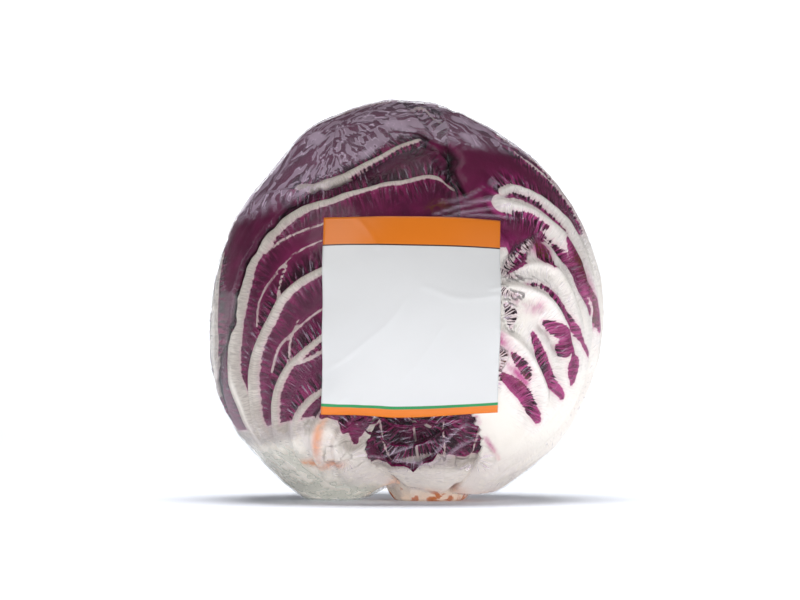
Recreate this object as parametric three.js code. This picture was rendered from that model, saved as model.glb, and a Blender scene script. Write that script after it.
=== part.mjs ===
// A round head of red chicory (radicchio) in shrink film, standing on its trimmed stem.
//
// The head is a stem, a dense heart and nine large leaves that wrap round it, each a separate piece.
// Clear film is shrunk over the leaves and open round the stem, and a plain label lies on its front.
//
// Millimetres, +Z up. The origin is the centre of the stem's cut face, and the front of the head faces -Y.
// Every surface is a distance from one centre inside the head, as a function of direction, so a leaf
// that lies under another is simply drawn closer to the centre than the one above it.

import * as THREE from "three";

// Driving dimensions, in millimetres and degrees.
const CENTRE = new THREE.Vector3(-8, 0, 68); // all surfaces are measured from here
const FRONT_DEPTH = 60; // from the centre to the front of the leaves
const BACK_DEPTH = 62;
// Outline of the leaves seen from the front: angle from +X towards +Z, and distance from the centre.
const OUTLINE = [
  [0, 63.6], [30, 62.5], [60, 62], [90, 65], [105, 64.2], [120, 65], [135, 61.6], [160, 62.2], [180, 64],
  [200, 67.6], [220, 69.8], [240, 69.6], [255, 67], [270, 66], [285, 67], [300, 68], [315, 67.2],
  [335, 64.6],
];
// Swellings of the leaf bases that the head stands on beside its stem: azimuth, elevation, height, radius.
const LOBES = [
  [-90, -61, 5.6, 13],
  [150, -60, 2.5, 14],
  [-150, -60, 2.5, 14],
];
// A hollow low on the front, where the outer leaves part and the film bridges them.
const HOLLOW = { x: -3, z: 22, depth: 4, radius: 13 };

const BLADE = 0.8; // thickness of a leaf's blade
const PETIOLE = 1.9; // thickness of a leaf at its base
const LEAF_GAP = 1.1; // clear space between one leaf and the next
const STEM_GAP = 0.6; // the same at their bases
const TUCK = 14; // how far outside its margin a leaf begins to press the one below it down
const TUCKED = 2; // how far outside its margin it presses that leaf down fully
const RIB_HEIGHT = 2.6; // how far a main rib stands out of the blade
const MARGIN_WAVE = 1; // height of the waves along a leaf's margin
const MARGIN_SCALLOP = 0.4; // how far the margin's waves also cut in, as a share of the last mesh cell
const ROWS = 14; // mesh rows along a leaf

const STEM_ANGLE = 12.6; // half angle of the cone that the stem fills, from the centre
const STEM_TOP = 58; // distance from the centre to the stem's inner end
const STEM_BEVEL = 5; // height of the rounded rim at the cut face
const STEM_SIDES = 28;
const LEAF_BASE = -76.2; // elevation at which the leaves meet the stem

const HEART_RECESS = 3.4; // how far the heart lies below the innermost leaf
const HEART_FOLD = 1.6; // height of the folds of the heart's own leaves
const HEART_FOOT = 6; // how much shorter the heart is where it meets the stem
const HEART_RINGS = 15;
const HEART_SIDES = 30;

const FILM_CLEARANCE = 0.5; // from the leaves to the film that lies on them
const FILM = 0.6; // thickness of the film as modelled
const FILM_MOUTH = -60; // lowest elevation of the film's open edge round the stem
const FILM_HEM = 3; // least height of that edge above the floor
const FILM_SIDES = 56;
const FILM_RINGS = 24;

const LABEL = 0.6; // thickness of the label as modelled
const LABEL_GAP = 0.5;
const LABEL_HEIGHT = 4.6; // of the label above the skin of the head
const LABEL_BOX = { left: -37.1, right: 24.6, bottom: 29.6, top: 97.5, columns: 8, rows: 9 };

// Directions from the centre.
const radians = THREE.MathUtils.degToRad;
const UP = CENTRE.clone().normalize(); // from the stem through the centre
const RIGHT = new THREE.Vector3(0, 1, 0).cross(UP).normalize();
const FRONT = new THREE.Vector3(0, -1, 0);

const smooth = (from, to, value) => {
  const t = THREE.MathUtils.clamp((value - from) / (to - from), 0, 1);
  return t * t * (3 - 2 * t);
};

// The direction at an azimuth round the stem's axis (0 is the front, 90 the right) and an elevation.
function at(azimuth, elevation) {
  const level = Math.cos(radians(elevation));
  return new THREE.Vector3()
    .addScaledVector(RIGHT, Math.sin(radians(azimuth)) * level)
    .addScaledVector(FRONT, Math.cos(radians(azimuth)) * level)
    .addScaledVector(UP, Math.sin(radians(elevation)));
}

// A closed curve through OUTLINE, read at any angle (cubic Hermite between neighbouring points).
function outlineRadius(angle) {
  const turn = ((angle % 360) + 360) % 360;
  const n = OUTLINE.length;
  const i = OUTLINE.findLastIndex(([a]) => a <= turn);
  const point = (k) => [OUTLINE[(k + n) % n][0] + 360 * Math.floor(k / n), OUTLINE[(k + n) % n][1]];
  const [[a0, r0], [a1, r1], [a2, r2], [a3, r3]] = [point(i - 1), point(i), point(i + 1), point(i + 2)];
  const t = (turn - a1) / (a2 - a1);
  const slopeIn = ((r2 - r0) / (a2 - a0)) * (a2 - a1);
  const slopeOut = ((r3 - r1) / (a3 - a1)) * (a2 - a1);
  return (
    (2 * t ** 3 - 3 * t ** 2 + 1) * r1 +
    (t ** 3 - 2 * t ** 2 + t) * slopeIn +
    (3 * t ** 2 - 2 * t ** 3) * r2 +
    (t ** 3 - t ** 2) * slopeOut
  );
}

const lobes = LOBES.map(([azimuth, elevation, height, radius]) => ({
  towards: at(azimuth, elevation),
  height,
  radius: radians(radius),
}));

// Distance from the centre to the skin of the head in a direction, over any hollow.
function headRadius(direction) {
  const side = outlineRadius(THREE.MathUtils.radToDeg(Math.atan2(direction.z, direction.x)));
  const depth = direction.y < 0 ? FRONT_DEPTH : BACK_DEPTH;
  const y2 = direction.y ** 2;
  const round = 1 / Math.sqrt((1 - y2) / side ** 2 + y2 / depth ** 2);
  const swelling = lobes.reduce(
    (sum, lobe) => sum + lobe.height * Math.exp(-((direction.angleTo(lobe.towards) / lobe.radius) ** 2)),
    0,
  );
  return round + swelling;
}

// The direction of a point of the front surface, given as it is seen from the front: x to the right of the
// origin and z above it.
function seen(x, z, lift = RIB_HEIGHT) {
  const flat = new THREE.Vector3(x - CENTRE.x, 0, z - CENTRE.z);
  const direction = flat.clone().setY(-30).normalize();
  for (let pass = 0; pass < 6; pass++) {
    const depth2 = (headRadius(direction) + lift) ** 2 - flat.lengthSq();
    direction.copy(flat).setY(-Math.sqrt(Math.max(depth2, 1))).normalize();
  }
  return direction;
}

// Distance from the centre to the outermost leaf blade in a direction.
const hollowTowards = seen(HOLLOW.x, HOLLOW.z);
function leafRadius(direction) {
  const away = direction.angleTo(hollowTowards) / radians(HOLLOW.radius);
  return headRadius(direction) - HOLLOW.depth * Math.exp(-(away ** 2));
}

// A point at a distance from the centre, and no lower than the surface that the head stands on.
function place(direction, distance) {
  const point = CENTRE.clone().addScaledVector(direction, distance);
  if (point.z < 0) point.addScaledVector(direction, -point.z / direction.z);
  return point;
}

// Leaves. Each is a fan of curves from the stem to the margin: its two side margins, with its ribs between.
// A curve is a list of directions. The list of leaves runs from the outermost to the innermost.

// Curves of a leaf that nothing singles out: they spread to both sides of a midrib that climbs the head at
// one azimuth. tip is how far up the midrib ends, and 90 is the crown.
const FAN_STEPS = 6;
const FAN_FOOT = 12; // half width at the stem, in degrees
const FAN_TAPER = 16; // how much the half width has lessened again at the tip
const FAN_SHOULDER = 34; // how far the side ribs end below the tip
const WIDEST = 0.62; // where a leaf is widest, from its base to its tip
function fan({ azimuth, halfWidth, tip, ribs = 5, lean = 0 }) {
  const ahead = at(azimuth, 0);
  const side = at(azimuth + 90, 0);
  const curves = [];
  for (let i = 0; i <= ribs + 1; i++) {
    const v = (2 * i) / (ribs + 1) - 1;
    const top = tip - FAN_SHOULDER * v ** 2;
    const curve = [];
    for (let k = 0; k <= FAN_STEPS; k++) {
      const t = k / FAN_STEPS;
      const along = radians(THREE.MathUtils.lerp(LEAF_BASE, top, t));
      const widening = Math.sin(Math.min(1, t / WIDEST) * (Math.PI / 2));
      const spread = THREE.MathUtils.lerp(FAN_FOOT, halfWidth, widening) - FAN_TAPER * smooth(WIDEST, 1, t);
      const across = radians(v * spread + lean * t);
      curve.push(
        new THREE.Vector3()
          .addScaledVector(ahead, Math.cos(across) * Math.cos(along))
          .addScaledVector(UP, Math.cos(across) * Math.sin(along))
          .addScaledVector(side, Math.sin(across)),
      );
    }
    curves.push(curve);
  }
  return curves;
}

const LEAVES = [
  {
    name: "wrapper_leaf_crown", // rises from the back left and folds over the crown to the front
    curves: [
      [at(-166, -75), at(-178, -45), at(-186, -10), at(-192, 18), at(-200, 40), at(-222, 56), at(110, 62)],
      [at(-152, -76), at(-155, -45), at(-160, -10), at(-165, 20), at(-172, 48), at(160, 70), at(80, 74)],
      [at(-138, -76), at(-136, -45), at(-135, -10), at(-134, 20), at(-132, 48), at(-125, 74), at(20, 81)],
      [at(-126, -76), at(-118, -45), at(-108, -10), at(-98, 20), at(-84, 45), at(-55, 60), seen(5, 127)],
      [
        at(-118, -75), at(-105, -50), at(-88, -22), seen(-69.5, 58), seen(-65.3, 79), seen(-54, 97),
        seen(-41, 108.5), seen(-23.8, 114), seen(-4, 123.5),
      ],
    ],
  },
  {
    name: "wrapper_leaf_right", // its ribs arch from the base at the right over the right half of the front
    curves: [
      [at(26, -76), seen(16, 8), seen(18.5, 16), seen(13, 34)],
      [at(35, -76), seen(22, 9), seen(29.5, 23), seen(29.5, 34), seen(24, 41), seen(12, 46)],
      [at(44, -76), seen(28, 13), seen(37, 29), seen(39.5, 40), seen(36, 49), seen(29, 57), seen(12, 61)],
      [
        at(53, -76), seen(34, 20), seen(43.5, 35), seen(46.5, 46), seen(45.5, 56), seen(41.5, 65),
        seen(31, 71), seen(14, 73),
      ],
      [
        at(62, -76), seen(38.5, 22), seen(48, 37.4), seen(50.5, 51), seen(49, 65), seen(44, 75),
        seen(36, 80), seen(11, 84),
      ],
      [
        at(71, -76), seen(43, 26), seen(51, 40), seen(53.5, 55), seen(53, 70), seen(47, 89), seen(39, 97),
        seen(26, 102), seen(9, 106),
      ],
      [
        at(80, -76), at(80, -45), at(80, -12), seen(54.5, 74), seen(49.3, 93), seen(41, 102),
        seen(33, 106), seen(26, 107.5), seen(6.5, 117),
      ],
      [at(90, -76), at(95, -45), at(95, -5), at(90, 28), at(72, 52), at(44, 66)],
      [at(100, -75), at(110, -45), at(112, -5), at(108, 30), at(100, 55), at(70, 73)],
    ],
  },
  {
    name: "wrapper_leaf_left", // its ribs climb the left side and bend over to the right
    curves: [
      [at(-100, -75), at(-96, -45), at(-90, -8), at(-80, 24), at(-52, 46), at(-18, 55), at(8, 56)],
      [
        at(-90, -76), seen(-57, 18.7), seen(-64.6, 34), seen(-66.5, 55), seen(-62.2, 81), seen(-47, 98),
        seen(-23.8, 107.4), seen(1, 112), seen(12, 109),
      ],
      [
        at(-80, -76), seen(-47, 8), seen(-58.5, 27), seen(-60.5, 41), seen(-56, 60), seen(-47.6, 72.4),
        seen(-37.4, 79.2), seen(-15, 88), seen(12, 100),
      ],
      [
        at(-70, -76), seen(-41, 6), seen(-52, 25), seen(-53, 34), seen(-47, 47.6), seen(-37.4, 56),
        seen(-18, 68), seen(7, 84),
      ],
      [
        at(-60, -76), seen(-36, 5), seen(-41.5, 14), seen(-40, 21), seen(-35.7, 30), seen(-25, 39),
        seen(4, 58),
      ],
      [at(-50, -76), seen(-29, 6), seen(-30, 18), seen(-22, 26), seen(-10, 32), seen(1, 37)],
      [at(-38, -76), seen(-19, 8), seen(-22.5, 16), seen(-17, 24), seen(-7, 28)],
    ],
  },
  { name: "inner_leaf_front", curves: fan({ azimuth: -4, halfWidth: 42, tip: 30 }), wave: 1.8 },
  { name: "wrapper_leaf_back_right", curves: fan({ azimuth: 142, halfWidth: 50, tip: 84 }) },
  { name: "wrapper_leaf_back", curves: fan({ azimuth: 190, halfWidth: 48, tip: 88 }) },
  { name: "inner_leaf_crown", curves: fan({ azimuth: 64, halfWidth: 56, tip: 112, ribs: 3, lean: -8 }) },
  { name: "inner_leaf_front_left", curves: fan({ azimuth: -34, halfWidth: 36, tip: 44, ribs: 3, lean: 10 }) },
  { name: "inner_leaf_front_right", curves: fan({ azimuth: 44, halfWidth: 36, tip: 44, ribs: 3, lean: -10 }) },
];

// Thickness of a leaf in a direction, thin in the blade and thick near the stem, and the step from it down to
// the next leaf, which is closer near the stem.
const nearStem = (direction) => smooth(-0.6, -0.95, direction.dot(UP));
const leafThickness = (direction) => THREE.MathUtils.lerp(BLADE, PETIOLE, nearStem(direction));
const leafClearance = (direction) => THREE.MathUtils.lerp(LEAF_GAP, STEM_GAP, nearStem(direction));
const leafStep = (direction) => leafThickness(direction) + leafClearance(direction);

// The grid of directions of a leaf: grid[column][row], with the ribs' columns marked. A blank column lies
// between each two curves.
function leafGrid({ curves }) {
  const columns = curves.map((curve) => {
    const spline = new THREE.CatmullRomCurve3(curve, false, "centripetal");
    return Array.from({ length: ROWS + 1 }, (_, row) => spline.getPointAt(row / ROWS).normalize());
  });
  const grid = [];
  columns.forEach((column, i) => {
    if (i) {
      grid.push({
        rib: false,
        directions: column.map((d, row) => d.clone().add(columns[i - 1][row]).normalize()),
      });
    }
    grid.push({ rib: i > 0 && i < columns.length - 1, directions: column });
  });
  scallop(grid);
  return grid;
}

// A wave along a margin, from 0 to 1, at a place counted in mesh cells.
const marginWave = (place) => 0.5 + 0.5 * Math.sin(2.4 * place);

// Draws the tip and the sides of a leaf's grid in by the margin's waves.
function scallop(grid) {
  const last = grid.length - 1;
  const draw = (direction, inwards, share) => direction.lerp(inwards, MARGIN_SCALLOP * share).normalize();
  for (let row = 3; row < ROWS; row++) {
    draw(grid[0].directions[row], grid[1].directions[row], marginWave(row));
    draw(grid[last].directions[row], grid[last - 1].directions[row], marginWave(row + last));
  }
  grid.forEach(({ directions }, column) => {
    draw(directions[ROWS], directions[ROWS - 1], marginWave(ROWS + column));
  });
}

// A flat map of directions round a leaf's middle, on which its margin is a polygon.
function leafMap(grid) {
  const middle = new THREE.Vector3();
  grid.forEach(({ directions }) => directions.forEach((d) => middle.add(d)));
  middle.normalize();
  const east = new THREE.Vector3().crossVectors(UP, middle).normalize();
  const north = new THREE.Vector3().crossVectors(middle, east);
  const scale = CENTRE.z;
  const flat = (direction) => {
    const angle = direction.angleTo(middle);
    const x = direction.dot(east);
    const y = direction.dot(north);
    const reach = (scale * angle) / Math.max(Math.hypot(x, y), 1e-9);
    return new THREE.Vector2(x * reach, y * reach);
  };
  const last = grid.length - 1;
  const margin = [
    ...grid[0].directions,
    ...grid.slice(1, last).map(({ directions }) => directions[ROWS]),
    ...[...grid[last].directions].reverse(),
    ...grid.slice(1, last).reverse().map(({ directions }) => directions[0]),
  ].map(flat);
  return { flat, margin };
}

// Distance from a direction to a leaf's margin, positive inside the leaf.
function depthInside({ flat, margin }, direction) {
  const p = flat(direction);
  let nearest = Infinity;
  let inside = false;
  margin.forEach((a, i) => {
    const b = margin[(i + 1) % margin.length];
    const side = b.clone().sub(a);
    const t = THREE.MathUtils.clamp(p.clone().sub(a).dot(side) / Math.max(side.lengthSq(), 1e-9), 0, 1);
    nearest = Math.min(nearest, p.distanceTo(a.clone().addScaledVector(side, t)));
    if (a.y > p.y !== b.y > p.y && p.x < a.x + ((p.y - a.y) / (b.y - a.y)) * side.x) inside = !inside;
  });
  return inside ? nearest : -nearest;
}

// 1 where a leaf covers what is below it, and falling to 0 over a short way outside its margin.
const coverage = (map, direction) => smooth(-TUCK, -TUCKED, depthInside(map, direction));

// A closed shell between an outer and an inner grid of points: grid[column][row]. Both faces are cut into
// triangles along the same diagonals.
function shellGeometry(outer, inner) {
  const rows = outer[0].length;
  const points = [...outer.flat(), ...inner.flat()];
  const top = (column, row) => column * rows + row;
  const under = (column, row) => outer.length * rows + top(column, row);
  const index = [];
  const quad = (a, b, c, d) => index.push(a, b, c, a, c, d);
  for (let i = 0; i < outer.length - 1; i++) {
    for (let j = 0; j < rows - 1; j++) {
      quad(top(i, j), top(i + 1, j), top(i + 1, j + 1), top(i, j + 1));
      index.push(under(i, j), under(i + 1, j + 1), under(i + 1, j));
      index.push(under(i, j), under(i, j + 1), under(i + 1, j + 1));
    }
  }
  const last = outer.length - 1;
  const end = rows - 1;
  for (let i = 0; i < last; i++) {
    quad(top(i, 0), under(i, 0), under(i + 1, 0), top(i + 1, 0));
    quad(top(i + 1, end), under(i + 1, end), under(i, end), top(i, end));
  }
  for (let j = 0; j < end; j++) {
    quad(top(0, j + 1), under(0, j + 1), under(0, j), top(0, j));
    quad(top(last, j), under(last, j), under(last, j + 1), top(last, j + 1));
  }
  return bufferGeometry(points, index);
}

function bufferGeometry(points, index) {
  const geometry = new THREE.BufferGeometry();
  geometry.setAttribute("position", new THREE.Float32BufferAttribute(points.flatMap((p) => p.toArray()), 3));
  geometry.setIndex(index);
  geometry.computeVertexNormals();
  return geometry;
}

// Distance from the centre to the nearest face of a mesh in a direction.
function faceDistance(mesh, direction) {
  const [hit] = new THREE.Raycaster(CENTRE, direction).intersectObject(mesh);
  return hit ? hit.distance : Infinity;
}

// The direction of a vertex of a leaf's grid, and those halfway to the vertices next to it.
function around(grid, column, row) {
  const direction = grid[column].directions[row];
  const next = [grid[column - 1], grid[column + 1]].map((side) => side?.directions[row]);
  next.push(grid[column].directions[row - 1], grid[column].directions[row + 1]);
  return [direction, ...next.filter(Boolean).map((d) => d.clone().add(direction).normalize())];
}

// A leaf's shell. above holds the leaves that lie over it, each with its map and its mesh.
function leafGeometry(grid, above, { wave = MARGIN_WAVE }) {
  const outer = [];
  const inner = [];
  grid.forEach(({ rib, directions }, column) => {
    const outside = [];
    const inside = [];
    directions.forEach((direction, row) => {
      const nearby = around(grid, column, row);
      const covers = above.map(({ map }) => Math.max(...nearby.map((d) => coverage(map, d))));
      const roof = Math.min(...above.flatMap(({ mesh }) => nearby.map((d) => faceDistance(mesh, d))));
      const covered = Math.max(0, ...covers);
      const thickness = leafThickness(direction);
      const s = row / ROWS;
      const stacked = covers.reduce((sum, cover) => sum + cover, 0) * leafStep(direction);
      const ceiling = roof - STEM_GAP;
      const level = Math.min(leafRadius(direction) - stacked, ceiling);
      const edge = column === 0 || column === grid.length - 1 || row === ROWS;
      const ribHeight = rib ? RIB_HEIGHT * (1 - 0.6 * s) * smooth(0, 0.15, s) : 0;
      const waves = edge ? wave * marginWave(row + column) * smooth(0.1, 0.4, s) : 0;
      const relief = (ribHeight + waves) * (1 - covered) ** 2;
      outside.push(place(direction, Math.min(level + relief, ceiling)));
      inside.push(place(direction, level - thickness + (edge ? 0.8 * relief : 0)));
    });
    outer.push(outside);
    inner.push(inside);
  });
  return shellGeometry(outer, inner);
}

// The stem: a plug that narrows upwards, with a rounded rim and a flat cut face.
function stemGeometry() {
  const floorDistance = (direction) => -CENTRE.z / direction.z;
  const profile = [
    [STEM_ANGLE, () => STEM_TOP],
    [STEM_ANGLE, (d) => floorDistance(d) - STEM_BEVEL - 5],
    [STEM_ANGLE * 0.97, (d) => floorDistance(d) - STEM_BEVEL],
    [STEM_ANGLE * 0.88, (d) => floorDistance(d) - STEM_BEVEL * 0.3],
    [STEM_ANGLE * 0.76, floorDistance],
  ];
  const points = [place(UP.clone().negate(), STEM_TOP)];
  for (const [angle, distance] of profile) {
    for (let i = 0; i < STEM_SIDES; i++) {
      const azimuth = (360 * i) / STEM_SIDES;
      const uneven = 1 + 0.035 * Math.sin(radians(3 * azimuth)) - 0.02 * Math.cos(radians(5 * azimuth));
      const direction = at(azimuth, -90 + angle * Math.min(uneven, 1.02));
      points.push(place(direction, distance(direction)));
    }
  }
  points.push(place(UP.clone().negate(), floorDistance(UP.clone().negate())));
  return bufferGeometry(points, ringIndex(profile.length, STEM_SIDES));
}

// Triangles of a body of rings whose first and last points close its ends.
function ringIndex(rings, sides) {
  const index = [];
  const point = (ring, i) => 1 + ring * sides + (i % sides);
  const end = 1 + rings * sides;
  for (let i = 0; i < sides; i++) {
    index.push(0, point(0, i), point(0, i + 1));
    for (let ring = 0; ring < rings - 1; ring++) {
      index.push(point(ring, i), point(ring + 1, i), point(ring + 1, i + 1));
      index.push(point(ring, i), point(ring + 1, i + 1), point(ring, i + 1));
    }
    index.push(point(rings - 1, i), end, point(rings - 1, i + 1));
  }
  return index;
}

// The heart: tightly packed inner leaves, whose folded margins stand out of it as curved ridges.
function heartGeometry(above) {
  const radius = (direction, azimuth, elevation) => {
    const layers = above.reduce((sum, { map }) => sum + coverage(map, direction), 0);
    const broad = Math.sin(radians(5 * azimuth + 3 * elevation));
    const narrow = Math.sin(radians(9 * azimuth - 4 * elevation));
    return (
      leafRadius(direction) -
      layers * leafStep(direction) -
      HEART_RECESS -
      HEART_FOLD * (1.5 - broad - 0.5 * narrow) -
      HEART_FOOT * smooth(-50, -80, elevation)
    );
  };
  const points = [place(UP, radius(UP, 0, 90))];
  for (let j = 1; j <= HEART_RINGS; j++) {
    const elevation = 90 - (180 * j) / (HEART_RINGS + 1);
    for (let i = 0; i < HEART_SIDES; i++) {
      const azimuth = (360 * i) / HEART_SIDES;
      const direction = at(azimuth, elevation);
      points.push(place(direction, radius(direction, azimuth, elevation)));
    }
  }
  const down = UP.clone().negate();
  points.push(place(down, radius(down, 0, -90)));
  return bufferGeometry(points, ringIndex(HEART_RINGS, HEART_SIDES));
}

// A grid of directions round the stem's axis, from the crown down to the film's open edge: grid[column][row].
function filmGrid() {
  const height = (azimuth, elevation) => {
    const direction = at(azimuth, elevation);
    return CENTRE.z + direction.z * (headRadius(direction) + RIB_HEIGHT);
  };
  return Array.from({ length: FILM_SIDES }, (_, i) => {
    const azimuth = (360 * i) / FILM_SIDES;
    let mouth = -40;
    while (mouth > FILM_MOUTH && height(azimuth, mouth - 1) > FILM_HEM) mouth -= 1;
    const fall = (90 - mouth) / FILM_RINGS;
    return Array.from({ length: FILM_RINGS + 1 }, (_, j) => at(azimuth, 90 - fall * j));
  });
}

// Distances from the centre of a skin that lies on meshes, and nowhere under headRadius. It starts at
// the furthest face in each direction of the grid, and a triangle is raised where a face stands through it.
function drape(meshes, grid, wrapped) {
  const furthest = (direction) => {
    const hits = new THREE.Raycaster(CENTRE, direction).intersectObjects(meshes);
    return Math.max(headRadius(direction), hits.at(-1)?.distance ?? 0);
  };
  const lying = grid.map((directions) => directions.map(furthest));
  const samples = [0.08, 0.36, 0.64, 0.92];
  grid.forEach((directions, i) => {
    if (i === grid.length - 1 && !wrapped) return;
    const next = (i + 1) % grid.length;
    for (let j = 0; j < directions.length - 1; j++) {
      const corners = [[i, j], [next, j], [next, j + 1], [i, j + 1]];
      for (const u of samples) {
        for (const v of samples) {
          const shares = u > v ? [1 - u, u - v, v, 0] : [1 - v, 0, u, v - u];
          const point = new THREE.Vector3();
          corners.forEach(([a, b], k) => point.addScaledVector(grid[a][b], shares[k] * lying[a][b]));
          const distance = point.length();
          const raise = Math.max(0, furthest(point.normalize()) - distance);
          corners.filter((_, k) => shares[k]).forEach(([a, b]) => (lying[a][b] += raise));
        }
      }
    }
  });
  return lying;
}

// The film: a thin skin that lies on the leaves and their ribs, closed over the crown and open below.
function filmGeometry(meshes) {
  const grid = filmGrid();
  const lying = drape(meshes, grid, true);
  const crown = Math.max(...lying.map((distances) => distances[0]));
  const layer = (offset) => {
    const points = [place(UP, crown + offset)];
    for (let j = 1; j <= FILM_RINGS; j++) {
      for (let i = 0; i < FILM_SIDES; i++) points.push(place(grid[i][j], lying[i][j] + offset));
    }
    return points;
  };
  const outer = layer(FILM_CLEARANCE + FILM);
  const inner = layer(FILM_CLEARANCE);
  const index = [];
  const point = (ring, i) => (ring === 0 ? 0 : 1 + (ring - 1) * FILM_SIDES + (i % FILM_SIDES));
  const under = (ring, i) => outer.length + point(ring, i);
  for (let i = 0; i < FILM_SIDES; i++) {
    index.push(0, point(1, i), point(1, i + 1));
    index.push(under(0, 0), under(1, i + 1), under(1, i));
    for (let ring = 1; ring < FILM_RINGS; ring++) {
      index.push(point(ring, i), point(ring + 1, i), point(ring + 1, i + 1));
      index.push(point(ring, i), point(ring + 1, i + 1), point(ring, i + 1));
      index.push(under(ring, i), under(ring + 1, i + 1), under(ring + 1, i));
      index.push(under(ring, i), under(ring, i + 1), under(ring + 1, i + 1));
    }
    index.push(point(FILM_RINGS, i), under(FILM_RINGS, i), under(FILM_RINGS, i + 1));
    index.push(point(FILM_RINGS, i), under(FILM_RINGS, i + 1), point(FILM_RINGS, i + 1));
  }
  return bufferGeometry([...outer, ...inner], index);
}

// The label: a rectangle seen from the front, which lies on the film.
function labelGeometry(film) {
  const { left, right, bottom, top, columns, rows } = LABEL_BOX;
  const grid = Array.from({ length: columns + 1 }, (_, i) =>
    Array.from({ length: rows + 1 }, (_, j) =>
      seen(left + ((right - left) * i) / columns, bottom + ((top - bottom) * j) / rows, LABEL_HEIGHT),
    ),
  );
  const lying = drape([film], grid, false);
  const layer = (offset) =>
    grid.map((directions, i) => directions.map((direction, j) => place(direction, lying[i][j] + offset)));
  return shellGeometry(layer(LABEL_GAP + LABEL), layer(LABEL_GAP));
}

// Finishes.
const material = (color, roughness, more = {}) =>
  new THREE.MeshStandardMaterial({ color, roughness, metalness: 0, side: THREE.DoubleSide, ...more });
const LEAF_RED = material(0x5c1541, 0.5);
const HEART_RED = material(0x3d0d2c, 0.55);
const STEM_TAN = material(0xd9a67c, 0.7);
const FILM_CLEAR = material(0xe9ecee, 0.15, { transparent: true, opacity: 0.25 });
const LABEL_PAPER = material(0xeeeeee, 0.4);

// The head.
const head = new THREE.Group();
function add(name, geometry, finish) {
  const mesh = new THREE.Mesh(geometry, finish);
  mesh.name = name;
  head.add(mesh);
  return mesh;
}

const leaves = [];
for (const leaf of LEAVES) {
  const grid = leafGrid(leaf);
  const mesh = add(leaf.name, leafGeometry(grid, leaves, leaf), LEAF_RED);
  leaves.push({ map: leafMap(grid), mesh });
}
add("heart", heartGeometry(leaves), HEART_RED);
add("stem", stemGeometry(), STEM_TAN);
const film = add("film_wrap", filmGeometry(leaves.map(({ mesh }) => mesh)), FILM_CLEAR);
add("front_label", labelGeometry(film), LABEL_PAPER);

export default head;
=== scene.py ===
"""A head of red chicory in shrink film, standing on its trimmed stem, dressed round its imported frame.

Every surface is a distance from one centre inside the head, as a function of direction, so the leaves, the
film and the label are layers that lie over one another. The front of the head faces -Y.
Lengths are millimetres and angles degrees until a mesh is made.
"""

import functools
import itertools
import math

import bpy
import numpy as np
from bpy.props import FloatProperty, FloatVectorProperty, PointerProperty
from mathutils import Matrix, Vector


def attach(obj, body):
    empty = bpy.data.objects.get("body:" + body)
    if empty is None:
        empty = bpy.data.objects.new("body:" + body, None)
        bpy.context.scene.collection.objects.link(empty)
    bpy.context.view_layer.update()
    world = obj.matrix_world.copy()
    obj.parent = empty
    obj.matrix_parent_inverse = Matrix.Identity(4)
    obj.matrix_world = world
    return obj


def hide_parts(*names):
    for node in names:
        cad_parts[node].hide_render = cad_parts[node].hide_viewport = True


bl_info = {
    "name": "Radicchio Head",
    "version": (1, 0, 0),
    "blender": (4, 5, 0),
    "location": "3D View > Sidebar > Radicchio",
    "description": "Dresses a packed head of red chicory with its leaves, film and label",
    "category": "Add Mesh",
}

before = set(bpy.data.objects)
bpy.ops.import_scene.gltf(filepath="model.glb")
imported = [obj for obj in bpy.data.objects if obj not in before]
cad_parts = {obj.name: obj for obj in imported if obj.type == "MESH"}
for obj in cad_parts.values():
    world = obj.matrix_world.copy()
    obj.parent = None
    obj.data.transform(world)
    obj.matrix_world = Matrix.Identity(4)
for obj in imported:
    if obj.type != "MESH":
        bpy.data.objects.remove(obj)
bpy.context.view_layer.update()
MM = 0.001

# ---------------------------------------------------------------------------------------------------------
# Shape of the head, shared by all pieces
# ---------------------------------------------------------------------------------------------------------

CENTRE = np.array((-8.0, 0.0, 68.0))
REACH = 66.0  # distance from the centre at which lengths along the surface are measured
FRONT_DEPTH = 60.0
BACK_DEPTH = 62.0
# Outline of the leaves seen from the front: angle from +X towards +Z, and distance from the centre.
OUTLINE = np.array([
    (0, 64.9), (30, 63.8), (60, 63.6), (90, 67.2), (105, 66.6), (120, 66.6), (135, 62.9), (160, 63.9),
    (180, 66), (200, 70), (220, 72.6), (240, 72.4), (253, 68.0), (262, 64.6), (272, 65.4), (285, 66.6),
    (300, 68.6), (315, 68.4), (335, 66.4),
])
# Swellings of the leaf bases beside the stem: azimuth, elevation, height, radius in degrees.
LOBES = [(-90, -61, 4.2, 12), (12, -74, 2.6, 8), (44, -70, 3.0, 10), (75, -73, 2.4, 8), (138, -73, 2.0, 8),
         (172, -73, 2.0, 8), (256, -67, 1.6, 7)]
# The hollow low on the front, where the outer leaves part: x, z, depth, radius in degrees.
HOLLOW = (-3, 22, 4, 13)

RIB_HEIGHT = 2.6
BLADE = 0.8
PETIOLE = 1.9
LEAF_GAP = 1.1
STEM_GAP = 0.6
TUCK = 6.5  # how far outside its margin a leaf begins to press the one below it down
TUCKED = 1.5
LEAF_FLOOR = 0.6  # height over the floor of what rests on it: the leaves on the film
FILM_FLOOR = 0.15
LEAF_BASE = -76.2
WHITE_BELOW = -34.0  # elevation below which a leaf is pale between its ribs too
PALE_SLOPE = 0.8  # paleness in millimetres a degree there
PALE_LIMIT = 9
FAR = 30.0  # distance at which no rib is near


def unit(vectors):
    return vectors / np.linalg.norm(vectors, axis=-1, keepdims=True)


def smooth(start, end, value):
    t = np.clip((value - start) / (end - start), 0, 1)
    return t * t * (3 - 2 * t)


UP = unit(CENTRE)
RIGHT = unit(np.cross((0, 1, 0), UP))
FRONT = np.array((0.0, -1.0, 0.0))


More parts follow.
